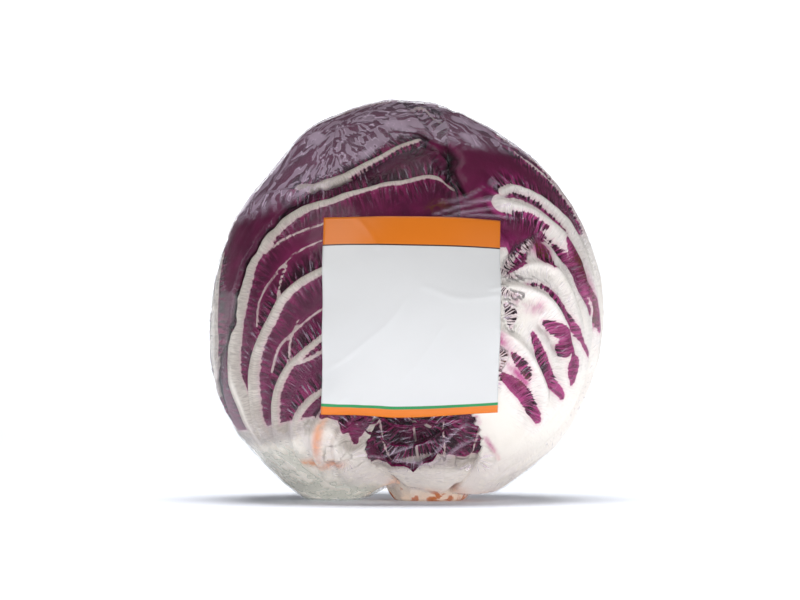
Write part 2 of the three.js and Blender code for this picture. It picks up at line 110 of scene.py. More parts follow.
def at(azimuth, elevation):
    """The direction at an azimuth round the stem's axis (0 is the front, 90 the right) and an elevation."""
    turn = np.radians(np.asarray(azimuth, float))[..., None]
    rise = np.radians(np.asarray(elevation, float))[..., None]
    return (RIGHT * np.sin(turn) + FRONT * np.cos(turn)) * np.cos(rise) + UP * np.sin(rise)


def elevation_of(directions):
    return np.degrees(np.arcsin(np.clip(directions @ UP, -1, 1)))


def azimuth_of(directions):
    return np.degrees(np.arctan2(directions @ RIGHT, directions @ FRONT))


def angle_between(directions, towards):
    return np.degrees(np.arccos(np.clip(directions @ towards, -1, 1)))


def outline_radius(angle):
    """A closed curve through OUTLINE, read at any angle (cubic Hermite between neighbouring points)."""
    turn = np.mod(angle, 360)
    n = len(OUTLINE)
    i = np.searchsorted(OUTLINE[:, 0], turn, side="right") - 1

    def point(k):
        return OUTLINE[k % n, 0] + 360 * (k // n), OUTLINE[k % n, 1]

    (a0, r0), (a1, r1), (a2, r2), (a3, r3) = point(i - 1), point(i), point(i + 1), point(i + 2)
    t = (turn - a1) / (a2 - a1)
    slope_in = (r2 - r0) / (a2 - a0) * (a2 - a1)
    slope_out = (r3 - r1) / (a3 - a1) * (a2 - a1)
    return (
        (2 * t**3 - 3 * t**2 + 1) * r1
        + (t**3 - 2 * t**2 + t) * slope_in
        + (3 * t**2 - 2 * t**3) * r2
        + (t**3 - t**2) * slope_out
    )


def head_radius(directions):
    """Distance from the centre to the skin of the head, over any hollow."""
    x, y, z = directions[..., 0], directions[..., 1], directions[..., 2]
    side = outline_radius(np.degrees(np.arctan2(z, x)))
    depth = np.where(y < 0, FRONT_DEPTH, BACK_DEPTH)
    distance = 1 / np.sqrt((1 - y**2) / side**2 + y**2 / depth**2)
    for azimuth, elevation, height, radius in LOBES:
        away = angle_between(directions, at(azimuth, elevation)) / radius
        distance = distance + height * np.exp(-(away**2))
    return distance


def seen(x, z, lift=RIB_HEIGHT):
    """The direction of a point that is seen from the front at x and z, a lift above the skin of the head."""
    flat = np.stack(np.broadcast_arrays(np.asarray(x, float) - CENTRE[0], 0.0, z - CENTRE[2]), -1)
    reach2 = (flat**2).sum(-1)
    direction = unit(flat + (0, -30, 0))
    for _ in range(6):
        depth = np.sqrt(np.maximum((head_radius(direction) + lift) ** 2 - reach2, 1))
        direction = unit(flat - depth[..., None] * (0, 1, 0))
    return direction


def front(*points):
    return [seen(x, z) for x, z in points]


def climb(*angles):
    return [at(azimuth, elevation) for azimuth, elevation in angles]


def place(directions, distances, floor=0.0):
    """Points at distances from the centre, and no lower than a height over the floor."""
    points = CENTRE + directions * distances[..., None]
    below = np.minimum(points[..., 2] - floor, 0) / np.minimum(directions[..., 2], -1e-9)
    return points - directions * below[..., None]


LATTICE = np.random.default_rng(7).random((32, 32, 32))


def ripple(points, size, shift=0.0):
    """Smooth noise from -1 to 1 whose bumps are about a size apart."""
    spot = points / size + shift
    low = np.floor(spot).astype(int)
    part = spot - low
    part = part * part * (3 - 2 * part)
    total = 0
    for corner in itertools.product((0, 1), repeat=3):
        weight = np.prod(np.where(corner, part, 1 - part), axis=-1)
        cell = (low + corner) % 32
        total = total + weight * LATTICE[cell[..., 0], cell[..., 1], cell[..., 2]]
    return 2 * total - 1


def spline(points, steps=24):
    """Points along a centripetal Catmull-Rom curve through directions."""
    points = [np.asarray(p) for p in points]
    ends = [2 * points[0] - points[1], *points, 2 * points[-1] - points[-2]]
    fine = []
    for p0, p1, p2, p3 in zip(ends, ends[1:], ends[2:], ends[3:]):
        t0 = 0.0
        t1 = t0 + np.linalg.norm(p1 - p0) ** 0.5
        t2 = t1 + np.linalg.norm(p2 - p1) ** 0.5
        t3 = t2 + np.linalg.norm(p3 - p2) ** 0.5
        t = np.linspace(t1, t2, steps, endpoint=False)[:, None]
        a1 = ((t1 - t) * p0 + (t - t0) * p1) / (t1 - t0)
        a2 = ((t2 - t) * p1 + (t - t1) * p2) / (t2 - t1)
        a3 = ((t3 - t) * p2 + (t - t2) * p3) / (t3 - t2)
        b1 = ((t2 - t) * a1 + (t - t0) * a2) / (t2 - t0)
        b2 = ((t3 - t) * a2 + (t - t1) * a3) / (t3 - t1)
        fine.append(((t2 - t) * b1 + (t - t1) * b2) / (t2 - t1))
    fine.append(points[-1][None])
    return unit(np.concatenate(fine))


def evenly(line, count):
    """A line of points resampled to a count of evenly spaced ones."""
    steps = np.linalg.norm(np.diff(line, axis=0), axis=1)
    run = np.concatenate([[0], np.cumsum(steps)])
    wanted = np.linspace(0, run[-1], count)
    return np.stack([np.interp(wanted, run, line[:, k]) for k in range(3)], -1)


class Stroke:
    """A line drawn over the head, with half widths and heights in millimetres from its start to its end.

    The widths of a line drawn as seen are those that show from the front, where the surface turns away.
    """

    SPACING = 1.2
    MOST_WIDENING = 2.3

    def __init__(self, path, width, height=(0, 0), bleach=0.0, leads=True, as_seen=False):
        line = spline(path) * REACH
        length = np.linalg.norm(np.diff(line, axis=0), axis=1).sum()
        self.line = evenly(line, max(3, int(length / self.SPACING)))
        self.length = length
        self.widening = (1.0,)
        if as_seen:
            across = unit(np.cross(self.line, np.gradient(self.line, axis=0)))
            self.widening = 1 / np.maximum(np.hypot(across[:, 0], across[:, 2]), 1 / self.MOST_WIDENING)
        self.width = width
        self.height = height
        self.bleach = bleach  # how much wider than its ridge a rib is pale
        self.leads = leads  # whether the wrinkles of the blade run across it

    def along(self, values, share):
        return np.interp(share, np.linspace(0, 1, len(values)), values)

    def half_width(self, share):
        return self.along(self.width, share) * self.along(self.widening, share)

    def measure(self, points):
        """Distance of points to the line, how far along it they lie (0 to 1), and on which side."""
        line = self.line
        segments = len(line) - 1
        squares = (points**2).sum(1)[:, None] + (line**2).sum(1) - 2 * points @ line.T
        closest = squares.argmin(1)
        best = None
        for first in (np.clip(closest - 1, 0, segments - 1), np.clip(closest, 0, segments - 1)):
            start = line[first]
            step = line[first + 1] - start
            offset = points - start
            t = np.clip((offset * step).sum(1) / (step**2).sum(1), 0, 1)
            gap = np.linalg.norm(offset - step * t[:, None], axis=1)
            side = np.sign((np.cross(step, offset) * points).sum(1))
            found = np.stack([gap, (first + t) / segments, side])
            best = found if best is None else np.where(found[0] < best[0], found, best)
        return best


CRACK = Stroke(front((-14, 127), (-9, 126.8), (-3.4, 125.8), (1, 123.8), (6, 121.8), (9, 119), (7.8, 116),
                     (9.2, 112.2), (12.6, 106)),
               (0.4, 0.5, 0.9, 1.4, 1.5, 1.1, 0.7), (1.0, 2.0, 4.0, 5.0, 5.0, 4.0, 2.5))
# Valleys that all the layers share: the film bridges them.
VALLEYS = [
    Stroke(front((-41, 107), (-47.5, 103), (-51.5, 99), (-57, 93), (-60.5, 88), (-63, 83), (-66, 74)),
           (2.4, 2.4), (1.6, 2.2, 1.2)),
    Stroke(front((-34, 107.5), (-27, 109), (-20.5, 110), (-13, 112)), (2.2, 1.6), (1.6, 1.2)),
    CRACK,
    Stroke(front((-18, 24), (-8, 20), (4, 18), (12, 24)), (6, 6), (4, 5, 4)),
    Stroke(front((37.5, 92), (42.5, 90), (46, 86), (49.5, 81), (52.5, 71.5), (55, 62)), (2, 2),
           (1.6, 1.8, 0.6)),
    Stroke(front((40, 60.5), (43.5, 57), (45, 53)), (2.2, 2.2), (2.6, 2.6)),
    Stroke(front((32, 85), (30, 80), (29, 76)), (4, 4), (2.2, 1)),
]


# Places that the film is drawn in to: x, z, the radii between which creases run to it, and how far the
# colours of the blade and of its ribs break up into stripes along them.
DRAWN_IN = 1.1  # how puckered the blade is there
PULLS = [(-5, 21, 9, 20, 0), (19, 41, 2, 8, 0.8), (16, 12, 2, 7, 0), (-29, 14, 2, 8, 0)]
# Bands of the right leaf that the film gathers into stripes across them.
STRIPED = 1.1
RUFFLES = [
    Stroke(front((37.5, 91.5), (34.5, 88.5), (31, 84.5), (26, 79)), (0.6, 2.2, 2.8, 1.6)),
    Stroke(front((23, 81), (28, 78), (34, 77)), (1.4, 1.4, 0.3)),
    Stroke(front((22, 73.5), (27, 71.5), (33, 70.5)), (2.6, 2.2, 0.4)),
    Stroke(front((26.5, 68), (28.5, 64), (28.5, 59.5)), (1.6, 4.6, 1.6)),
    Stroke(front((24, 53), (26, 49.5), (25, 45)), (0.6, 2.4, 0.6)),
]


def leaf_radius(directions):
    """Distance from the centre to the outermost leaf blade in each direction."""
    x, z, depth, radius = HOLLOW
    away = angle_between(directions, seen(x, z)) / radius
    distance = head_radius(directions) - depth * np.exp(-(away**2))
    points = directions * REACH
    for valley in VALLEYS:
        gap, share, _ = valley.measure(points)
        sunk = valley.along(valley.height, share)
        distance = distance - sunk * np.exp(-((gap / valley.half_width(share)) ** 2))
    return distance


def crack_shade(points):
    """How much painted shade darkens the deep crack over the label."""
    gap, share, _ = CRACK.measure(points)
    return np.exp(-((gap / CRACK.half_width(share) / 1.3) ** 4))


def near_stem(directions):
    return smooth(-0.6, -0.95, directions @ UP)


def leaf_thickness(directions):
    return BLADE + (PETIOLE - BLADE) * near_stem(directions)


def leaf_step(directions):
    return leaf_thickness(directions) + LEAF_GAP + (STEM_GAP - LEAF_GAP) * near_stem(directions)


# ---------------------------------------------------------------------------------------------------------
# Leaves
# ---------------------------------------------------------------------------------------------------------

FAN_STEPS = 6
FAN_FOOT = 12.0
FAN_TAPER = 16.0
FAN_SHOULDER = 34.0
WIDEST = 0.62
UNDER = 3  # how many cells of a leaf's face one cell of its underside spans


def fan(azimuth, half_width, tip, ribs=5, lean=0.0):
    """Curves of a leaf that spread to both sides of a midrib, which climbs the head at one azimuth."""
    ahead = at(azimuth, 0)
    side = at(azimuth + 90, 0)
    t = np.linspace(0, 1, FAN_STEPS + 1)
    widening = np.sin(np.minimum(1, t / WIDEST) * (math.pi / 2))
    spread = FAN_FOOT + (half_width - FAN_FOOT) * widening - FAN_TAPER * smooth(WIDEST, 1, t)
    curves = []
    for i in range(ribs + 2):
        v = 2 * i / (ribs + 1) - 1
        along = np.radians(LEAF_BASE + (tip - FAN_SHOULDER * v**2 - LEAF_BASE) * t)[:, None]
        across = np.radians(v * spread + lean * t)[:, None]
        level = ahead * np.cos(along) + UP * np.sin(along)
        curves.append(list(level * np.cos(across) + side * np.sin(across)))
    return curves


def leaf_grid(curves, cell):
    """Directions over a leaf, [column, row], evenly spaced about a cell apart, with a waved margin."""
    lines = [spline(curve) for curve in curves]
    length = np.mean([np.linalg.norm(np.diff(line, axis=0), axis=1).sum() for line in lines]) * REACH
    rows = UNDER * math.ceil(length / cell / UNDER) + 1
    even = np.stack([evenly(line, rows) for line in lines])
    gaps = np.linalg.norm(np.diff(even, axis=0), axis=2).mean(1) * REACH
    columns = UNDER * math.ceil(gaps.sum() / cell / UNDER) + 1
    wave = np.sin(np.arange(rows) * cell / 1.9) + 0.6 * np.sin(np.arange(rows) * cell / 0.83)
    reach = np.concatenate([[0], np.cumsum(gaps)])
    inset = 0.7 * (1 + wave / 1.6) * smooth(0.12, 0.4, np.arange(rows) / rows)
    tips = np.sin(np.arange(columns) * cell / 2.1) + 0.6 * np.sin(np.arange(columns) * cell / 0.9)
    shorter = 0.8 * (1 + tips / 1.6) / length
    u = np.linspace(0, 1, columns)[:, None]
    across = inset + u * (reach[-1] - 2 * inset)
    down = np.linspace(0, 1, rows)[None] * (1 - shorter[:, None])
    place_across = np.interp(across, reach, np.arange(len(reach)))
    left = np.clip(np.floor(place_across).astype(int), 0, len(reach) - 2)
    place_down = down * (rows - 1)
    upper = np.clip(np.floor(place_down).astype(int), 0, rows - 2)
    fx = (place_across - left)[..., None]
    fy = (place_down - upper)[..., None]
    return unit(
        (even[left, upper] * (1 - fx) + even[left + 1, upper] * fx) * (1 - fy)
        + (even[left, upper + 1] * (1 - fx) + even[left + 1, upper + 1] * fx) * fy
    )


class Leaf:
    """A leaf: its grid of directions, and the ribs and stains drawn on it."""

    MARGIN_STEP = 2.4

    def __init__(self, name, curves, cell, ribs, stains=(), flushes=(), white_below=WHITE_BELOW, fall=11.0,
                 wave=1.0, far_side=1.0):
        self.name = name
        self.ribs = ribs
        self.stains = stains
        self.flushes = flushes
        self.white_below = white_below
        self.fall = fall  # how much lower the pale base ends behind than in front, in degrees
        self.wave = wave
        self.far_side = far_side  # how puckered the blade is on the right of a rib, against its left
        self.grid = leaf_grid(curves, cell)
        self.middle = unit(self.grid.reshape(-1, 3).sum(0))
        self.east = unit(np.cross(UP, self.middle))
        self.north = np.cross(self.middle, self.east)
        g = self.grid
        stride = max(1, int(self.MARGIN_STEP / cell))
        outline = np.concatenate([g[0, ::stride], g[::stride, -1], g[-1, ::-stride], g[::-stride, 0]])
        self.margin = self.flat(outline)

    def flat(self, directions):
        """Places on a flat map round the leaf's middle, in millimetres."""
        angle = np.arccos(np.clip(directions @ self.middle, -1, 1))
        x = directions @ self.east
        y = directions @ self.north
        stretch = CENTRE[2] * angle / np.maximum(np.hypot(x, y), 1e-9)
        return np.stack([x * stretch, y * stretch], -1)

    def depth_inside(self, directions):
        """Distance to the leaf's margin, positive inside the leaf."""
        spots = self.flat(directions)
        nearest = np.full(len(spots), np.inf)
        inside = np.zeros(len(spots), bool)
        ends = np.roll(self.margin, -1, axis=0)
        for a, b in zip(self.margin, ends):
            side = b - a
            offset = spots - a
            t = np.clip(offset @ side / max(side @ side, 1e-9), 0, 1)
            gap = offset - t[:, None] * side
            nearest = np.minimum(nearest, (gap**2).sum(1))
            if a[1] != b[1]:
                crossed = (a[1] > spots[:, 1]) != (b[1] > spots[:, 1])
                inside ^= crossed & (offset[:, 0] < offset[:, 1] / (b[1] - a[1]) * side[0])
        nearest = np.sqrt(nearest)
        return np.where(inside, nearest, -nearest)

    def marks(self, directions):
        """Relief, paleness and the run of the wrinkles, at directions that lie on the leaf."""
        points = directions * REACH
        n = len(points)
        relief = np.zeros(n)
        elevation = elevation_of(directions)
        behind = smooth(0.1, -0.4, directions @ FRONT)
        base = self.white_below - self.fall * behind + 3 * behind * ripple(points, 5.0, 7.7)
        spread = 1 + behind * (1.7 * smooth(0, -44, elevation) + 0.25 * ripple(points, 7.0, 1.9))
        pale = (base - elevation) * PALE_SLOPE
        nearest = np.full(n, FAR)
        second = np.full(n, FAR)
        along = np.zeros(n)
        across = np.zeros(n)
        for number, rib in enumerate(self.ribs):
            gap, share, side = rib.measure(points)
            width = rib.half_width(share) * spread
            ridge = 1 - smooth(0.3, 1.45, gap / width)
            relief = np.maximum(relief, rib.along(rib.height, share) * ridge)
            pale = np.maximum(pale, width + rib.bleach - gap)
            if rib.leads:
                away = gap - width
                closer = away < nearest
                second = np.where(closer, nearest, np.minimum(second, away))
                nearest = np.where(closer, away, nearest)
                along = np.where(closer, share * rib.length + 60 * number, along)
                across = np.where(closer, side * gap, across)
        for stain in self.stains:
            gap, share, _ = stain.measure(points)
            width = stain.half_width(share)
            pale = np.minimum(pale, gap - width)
            relief = relief - stain.along(stain.height, share) * (1 - smooth(0.2, 1.4, gap / width))
        pucker = (1 - smooth(0.5, 10, nearest)) * smooth(0, 2.5, second - nearest)
        warm = 0.6 * smooth(-69, -75, elevation)
        for flush in self.flushes:
            gap, share, _ = flush.measure(points)
            warm = np.maximum(warm, np.exp(-((gap / flush.half_width(share)) ** 2)))
        pucker = pucker * (0.35 + 0.65 * smooth(-0.8, 0.4, nearest)) * np.where(across < 0, self.far_side, 1)
        for x, z, inner, outer, striped in PULLS:
            offset = (directions - seen(x, z)) * REACH
            radius = np.linalg.norm(offset, axis=1)
            ring = smooth(inner * 0.5, inner, radius) * (1 - smooth(outer * 0.8, outer, radius))
            drawn_in = ring * DRAWN_IN > pucker
            turn = np.arctan2(offset @ UP, offset @ RIGHT) * (inner + outer) / 2
            along = np.where(drawn_in, turn, along)
            across = np.where(drawn_in, radius, across)
            pucker = np.where(drawn_in, ring * (DRAWN_IN + striped), pucker * (1 - ring))
            pale = pale + (0.15 - pale) * ring * striped
        for ruffle in RUFFLES:
            gap, share, side = ruffle.measure(points)
            off = gap / ruffle.half_width(share)
            band = 1 - smooth(0.6, 1.05, off)
            along = np.where(band > 0, share * ruffle.length, along)
            across = np.where(band > 0, side * gap, across)
            pucker = np.maximum(pucker * smooth(1.05, 1.6, off), band * (DRAWN_IN + STRIPED))
            pale = pale + (0.1 - pale) * band
        return {
            "relief": relief,
            "pale": np.clip(pale, -PALE_LIMIT, PALE_LIMIT),
            "along": along,
            "across": across,
            "pucker": pucker,
            "warm": warm,
            "shade": crack_shade(points),
        }


def main_rib(path, width, height=RIB_HEIGHT, bleach=0.0):
    """A broad rib that thins and sinks towards its tip."""
    return Stroke(path, (width, width * 0.95, width * 0.75, width * 0.4, width * 0.22),
                  (0.2, height, height, height * 0.8, height * 0.45, height * 0.25), bleach)


def vein(path, width=0.42, height=0.35):
    return Stroke(path, (width, width * 0.7), (height, height * 0.5), 0.12, leads=False)


def drawn(path, width, height=(0, 0), bleach=0.0, leads=True):
    """A rib drawn as it is seen from the front."""
    return Stroke(path, width, height, bleach, leads, as_seen=True)


def stain(path, width, depth=0.0):
    return Stroke(path, (0.4 * width, width, width, 0.5 * width), (depth, depth), leads=False, as_seen=True)


def crown_leaf():
    """Rises from the back left and folds over the crown to the front."""
    curves = [
        climb((-166, -75), (-178, -45), (-186, -10), (-192, 18), (-200, 40), (-222, 56), (110, 62)),
        climb((-152, -76), (-155, -45), (-160, -10), (-165, 20), (-172, 48), (160, 70), (80, 74)),
        climb((-138, -76), (-136, -45), (-135, -10), (-134, 20), (-132, 48), (-125, 74), (35, 83)),
        climb((-126, -76), (-118, -45), (-108, -10), (-98, 20), (-84, 45), (-55, 60)) + front((1, 125)),
        climb((-118, -75), (-105, -50), (-88, -22))
        + front((-69.5, 58), (-65.3, 79), (-54, 97), (-42, 106.5), (-33, 108.3), (-23.8, 112.8),
                (-3.5, 122.8)),
    ]
    ribs = [
        main_rib(curves[1], 2.2),
        main_rib(curves[2], 2.6),
        main_rib(curves[3][:5], 1.9, 1.8),
        drawn(front((-46, 108), (-43.5, 108.3), (-41, 108.3), (-37.5, 108.8), (-30.5, 111), (-24, 114.6),
                     (-17, 118.4), (-10, 122.2), (-3.5, 124.4)),
               (1.1, 1.5, 1.0, 0.8, 0.5), (0.8, 1.8, 1.3, 0.8)),
        Stroke(climb((-104, -72), (-92, -50), (-82, -25), (-79, 0), (-82, 20)), (6, 6.5, 6.5, 6.5, 2),
               (0.8, 0.5)),
        vein(climb((-122, -10), (-112, 20), (-100, 40))),
    ]
    return Leaf("wrapper_leaf_crown", curves, 0.95, ribs, white_below=-27)


def right_leaf():
    """Its ribs arch from the base at the right over the right half of the front."""
    curves = [
        climb((26, -76)) + front((16, 8), (18.5, 16), (13, 34)),
        climb((35, -76)) + front((22, 9), (29.5, 23), (29.5, 34), (24, 41), (12, 46)),
        climb((44, -76)) + front((28, 13), (37, 29), (39.5, 40), (36, 49), (29, 57), (12, 61)),
        climb((53, -76))
        + front((34, 20), (43.5, 35), (46.5, 46), (45.5, 56), (41.5, 65), (31, 71), (14, 73)),
        climb((62, -76))
        + front((38.5, 22), (48, 37.4), (50.5, 51), (49, 65), (44, 75), (36, 80), (11, 84)),
        climb((71, -76))
        + front((43, 26), (51, 40), (53.5, 55), (53, 70), (47, 89), (39, 97), (26, 102), (9, 106)),
        climb((80, -76), (80, -45), (80, -12))
        + front((54.5, 74), (49.3, 93), (41, 102), (33, 106), (26, 107.5), (6.5, 117)),
        climb((90, -76), (95, -45), (95, -5), (90, 28), (72, 52), (44, 66)),
        climb((100, -75), (110, -45), (112, -5), (108, 30), (100, 55), (70, 73)),
    ]
    arcs = [
        (front((17, 5), (30.5, 10), (44, 20.5), (52.5, 34), (57, 47.5), (58, 61), (56.5, 71.5), (53.5, 83.5),
               (48.5, 94.5), (44, 99.5), (39, 103.5), (32.5, 107), (29, 108), (25.5, 107)), 1.4, 2.4, 1.0),
        (front((20.5, 8.5), (32.5, 15.5), (44, 27), (51, 39), (53.5, 52.5), (54.5, 64.5), (52.5, 75),
               (49.5, 84.5), (45, 92), (42, 95), (35.5, 99.5), (29, 102), (25, 103)), 2.1, 2.6, 2.2),
        (front((18.5, 9.5), (30.5, 17), (42, 27), (48.5, 37.5), (51, 47.5), (51.5, 58), (50, 66.5),
               (47.5, 73), (44, 79), (36, 81.5), (28, 80)), 1.8, 2.4, 2.5),
        (front((17, 10), (29, 18), (39, 28), (45, 37.5), (47.5, 46), (47.5, 54.5), (45, 62), (41.5, 68),
               (35.5, 72), (29, 74), (20, 73)), 2.0, 2.8, 2.5),
        (front((15.5, 9.5), (25.5, 15.5), (34, 24), (39, 32.5), (39, 39), (35.5, 47.5), (30.5, 54.5),
               (22, 60)), 1.9, 2.4, 3.5),
    ]
    ribs = [
        drawn(path, (width, width, width, width * 0.8, width * 0.6),
               (0.2, height, height, height, height * 0.8, height * 0.6), bleach)
        for path, width, height, bleach in arcs
    ]
    ribs += [
        drawn(front((60, 40), (52, 26), (40, 14), (28, 6)), (9, 9), (0, 0), 0, leads=False),
        drawn(front((30, 8), (24, 20), (22, 32)), (9, 4), (0, 0), 0, leads=False),
        main_rib(climb((80, -76), (84, -45), (86, -12), (84, 20), (72, 46)), 2.2),
        main_rib(climb((90, -76), (98, -45), (99, -5), (95, 28), (80, 54)), 2.2),
    ]
    stains = [
        stain(front((22, 116), (32.5, 111.5), (41, 107), (47, 101.5), (50, 97)), 2.6),
        stain(front((27, 105), (32.5, 105), (37.5, 102.5), (42.5, 98.5), (47, 94)), 0.7, 0.5),
        stain(front((29, 99.5), (34, 98), (37.5, 96), (41, 94)), 1.1),
        stain(front((26, 94), (30.5, 90), (31.5, 85), (28, 80)), 3.6, 1.0),
        stain(front((37.5, 92), (42.5, 90), (46, 86), (49.5, 81), (52.5, 72), (54.8, 64)), 0.9, 0.6),
        stain(front((47, 89), (51, 81), (55, 70.5), (58, 58)), 1.7),
        stain(front((37.5, 88.5), (40, 85), (42.5, 81.5)), 2.2),
        stain(front((34, 74.5), (39, 74), (42.5, 71.5), (46, 67), (48.5, 62), (51, 56), (53.5, 49.5)), 1.1),
        stain(front((41, 61.5), (45, 58.5), (47.5, 54.5), (46, 50.5)), 1.9, 0.8),
        stain(front((48.5, 51), (48.5, 46), (48, 41)), 2.2),
        stain(front((36.5, 57), (38.5, 51), (40.5, 45), (42.5, 40), (44.5, 36)), 2.3, 0.5),
        stain(front((24, 43.5), (29, 40), (34, 34.5), (36.5, 28)), 2.6, 0.6),
        stain(front((29, 50.5), (32.5, 46), (35, 41.5)), 1.8),
    ]
    flushes = [
        Stroke(front((24, 56), (27, 50), (25, 44)), (2.5, 3)),
        Stroke(front((25, 48), (30, 44), (34, 40)), (1.5, 2)),
        Stroke(front((31, 68), (38, 66)), (2.5, 2.5)),
        Stroke(front((37, 88), (41, 85)), (3, 3)),
        Stroke(front((17, 27), (20, 20), (24, 14)), (0.7, 0.7)),
        Stroke(front((50, 84), (55, 72), (57, 60)), (2.5, 2.5)),
    ]
    return Leaf("wrapper_leaf_right", curves, 0.72, ribs, stains, flushes, white_below=14, fall=40)


def left_leaf():
    """Its ribs climb the left side and bend over to the right."""
    curves = [
        climb((-100, -75), (-96, -45), (-90, -8), (-80, 24), (-52, 46), (-18, 55), (8, 56)),
        climb((-90, -76))
        + front((-57, 18.7), (-64.6, 34), (-66.5, 55), (-62.2, 81), (-47, 98), (-23.8, 107.4), (1, 112),
                (12, 109)),
        climb((-80, -76))
        + front((-47, 8), (-58.5, 27), (-60.5, 41), (-56, 60), (-47.6, 72.4), (-37.4, 79.2), (-15, 88),
                (12, 100)),
        climb((-70, -76))
        + front((-41, 6), (-52, 25), (-53, 34), (-47, 47.6), (-37.4, 56), (-18, 68), (7, 84)),
        climb((-60, -76)) + front((-36, 5), (-41.5, 14), (-40, 21), (-35.7, 30), (-25, 39), (4, 58)),
        climb((-50, -76)) + front((-29, 6), (-30, 18), (-22, 26), (-10, 32), (1, 37)),
        climb((-38, -76)) + front((-19, 8), (-22.5, 16), (-17, 24), (-7, 28)),
    ]
    ribs = [
        drawn(front((-47, 8), (-52.5, 13.5), (-57, 18.5), (-61, 25.5), (-64.5, 34), (-67, 41), (-67.5, 47.5),
                     (-66.5, 61), (-64.5, 71.5), (-62, 81), (-58, 87.5), (-51, 95), (-44, 100), (-34, 103.5),
                     (-27, 106), (-17, 109), (-10, 110), (0, 112), (2.5, 111.5), (9, 109)),
               (2.2, 2.1, 2.1, 2.1, 2.0, 1.7, 1.3, 0.85, 0.7, 0.5), (1.4, 2.8, 2.8, 2.6, 2.2, 1.6, 1.2, 0.9)),
        drawn(front((-47, 6), (-53.5, 15.5), (-56, 20.5), (-59, 27), (-60, 34), (-60.5, 41), (-60, 47.5),
                     (-57, 57), (-53.5, 64), (-50.5, 69.5), (-44, 75.5), (-37.5, 79), (-28, 83), (-15, 88)),
               (1.8, 1.8, 1.8, 1.7, 1.6, 1.5, 1.2, 0.8), (1.4, 2.8, 2.8, 2.6, 2.4, 2.0, 1.2)),
        drawn(front((-43, 6), (-50.5, 15.5), (-52, 20.5), (-53, 27), (-53, 34), (-52, 39), (-48.5, 46),
                     (-44, 50.5), (-37.5, 56), (-30.5, 61), (-18, 68)),
               (1.6, 1.5, 1.4, 1.3, 1.2, 0.9, 0.6), (1.2, 2.4, 2.4, 2.2, 1.8, 1.2)),
        drawn(front((-39, 4), (-44, 14), (-47, 22), (-45, 30), (-38, 37), (-26, 42)), (1.6, 1.5, 1.2, 0.8),
               (0.5, 1.8, 1.8, 1.0)),
        drawn(front((-34, 4), (-38, 12), (-40, 22), (-36, 31), (-28, 37)), (1.7, 1.6, 1.3), (0.5, 2.4, 1.6)),
        drawn(front((-27, 4), (-31, 12), (-32, 20), (-27, 27), (-16, 31)), (1.8, 1.6, 1.0),
              (0.5, 2.0, 1.2), 0.8),
        drawn(front((-50, 14), (-42, 16), (-30, 20)), (5, 6), (0, 0), 0, leads=False),
        vein(front((-57, 85.5), (-52, 89.5), (-47.5, 92), (-41, 94.5), (-30, 98)), 0.5, 0.5),
        vein(front((-60.5, 60), (-59, 69.5), (-54.5, 77), (-47.5, 85), (-43, 87.5), (-32, 92)), 0.45, 0.4),
        vein(front((-53, 66), (-52, 75.5), (-50, 81)), 0.55),
        vein(front((-55, 44), (-52.5, 52.5), (-49.5, 56), (-44, 61), (-34, 69))),
        vein(front((-49, 46), (-48.5, 54.5), (-46, 62))),
        drawn(front((-48, 47), (-42.5, 48.5), (-34, 53.5)), (0.9, 0.5), (1.2, 0.6), leads=False),
    ]
    stains = [
        stain(front((-36.5, 29.5), (-29, 28.5), (-23, 26), (-25, 21)), 2.6, 0.4),
        stain(front((-31, 26), (-27, 23), (-26, 18.5)), 1.6, 0.3),
        stain(front((-66.5, 71), (-68, 60), (-68.5, 50)), 0.01),
    ]
    flushes = [
        Stroke(front((-32, 31), (-37, 27), (-39, 20), (-38, 13)), (0.7, 1.2, 1.0)),
        Stroke(front((-43, 13), (-38, 11), (-32, 12)), (1.5, 2)),
        Stroke(front((0, 101), (4, 103), (8, 102)), (1.4, 2)),
    ]
    return Leaf("wrapper_leaf_left", curves, 0.68, ribs, stains, flushes, white_below=-31, far_side=0.5)


def fan_leaf(name, azimuth, half_width, tip, cell, ribs=5, lean=0.0, wave=1.0, white_below=WHITE_BELOW,
             bold=1.0):
    """A leaf that fans out from its base, with a vein between each two of its ribs."""
    curves = fan(azimuth, half_width, tip, ribs, lean)
    middle = (len(curves) - 1) / 2
    strokes = [
        main_rib(curve, bold * (2.6 - 0.35 * abs(i - middle)), bold * (RIB_HEIGHT - 0.3 * abs(i - middle)))
        for i, curve in enumerate(curves) if 0 < i < len(curves) - 1
    ]
    for i in range(len(curves) - 1):
        low, high = np.array(curves[i]), np.array(curves[i + 1])
        side = 0.25 if i < middle else 0.75
        between = [unit(a + (b - a) * (side + (0.5 - side) * k / FAN_STEPS))
                   for k, (a, b) in enumerate(zip(low, high))]
        strokes.append(vein(between[2:], 0.4, 0.4))
    return Leaf(name, curves, cell, strokes, white_below=white_below, wave=wave)


@functools.cache
def head_leaves():
    """The nine leaves, from the outermost to the innermost."""
    return [
        crown_leaf(),
        right_leaf(),
        left_leaf(),
        fan_leaf("inner_leaf_front", -4, 42, 30, 0.8, wave=1.8, white_below=-57, bold=0.17),
        fan_leaf("wrapper_leaf_back_right", 142, 50, 84, 1.0),
        fan_leaf("wrapper_leaf_back", 190, 48, 88, 1.0),
        fan_leaf("inner_leaf_crown", 64, 56, 112, 1.3, ribs=3, lean=-8),
        fan_leaf("inner_leaf_front_left", -34, 36, 44, 1.3, ribs=3, lean=10),
        fan_leaf("inner_leaf_front_right", 44, 36, 44, 1.3, ribs=3, lean=-10),
    ]


def pressed(directions, above):
    """How many layers press on directions from above, and how fully the nearest covers them."""
    stack = np.zeros(len(directions))
    covered = np.zeros(len(directions))
    for leaf in above:
        cover = smooth(-TUCK, -TUCKED, leaf.depth_inside(directions))
        stack += cover
        covered = np.maximum(covered, cover)
    return stack, covered


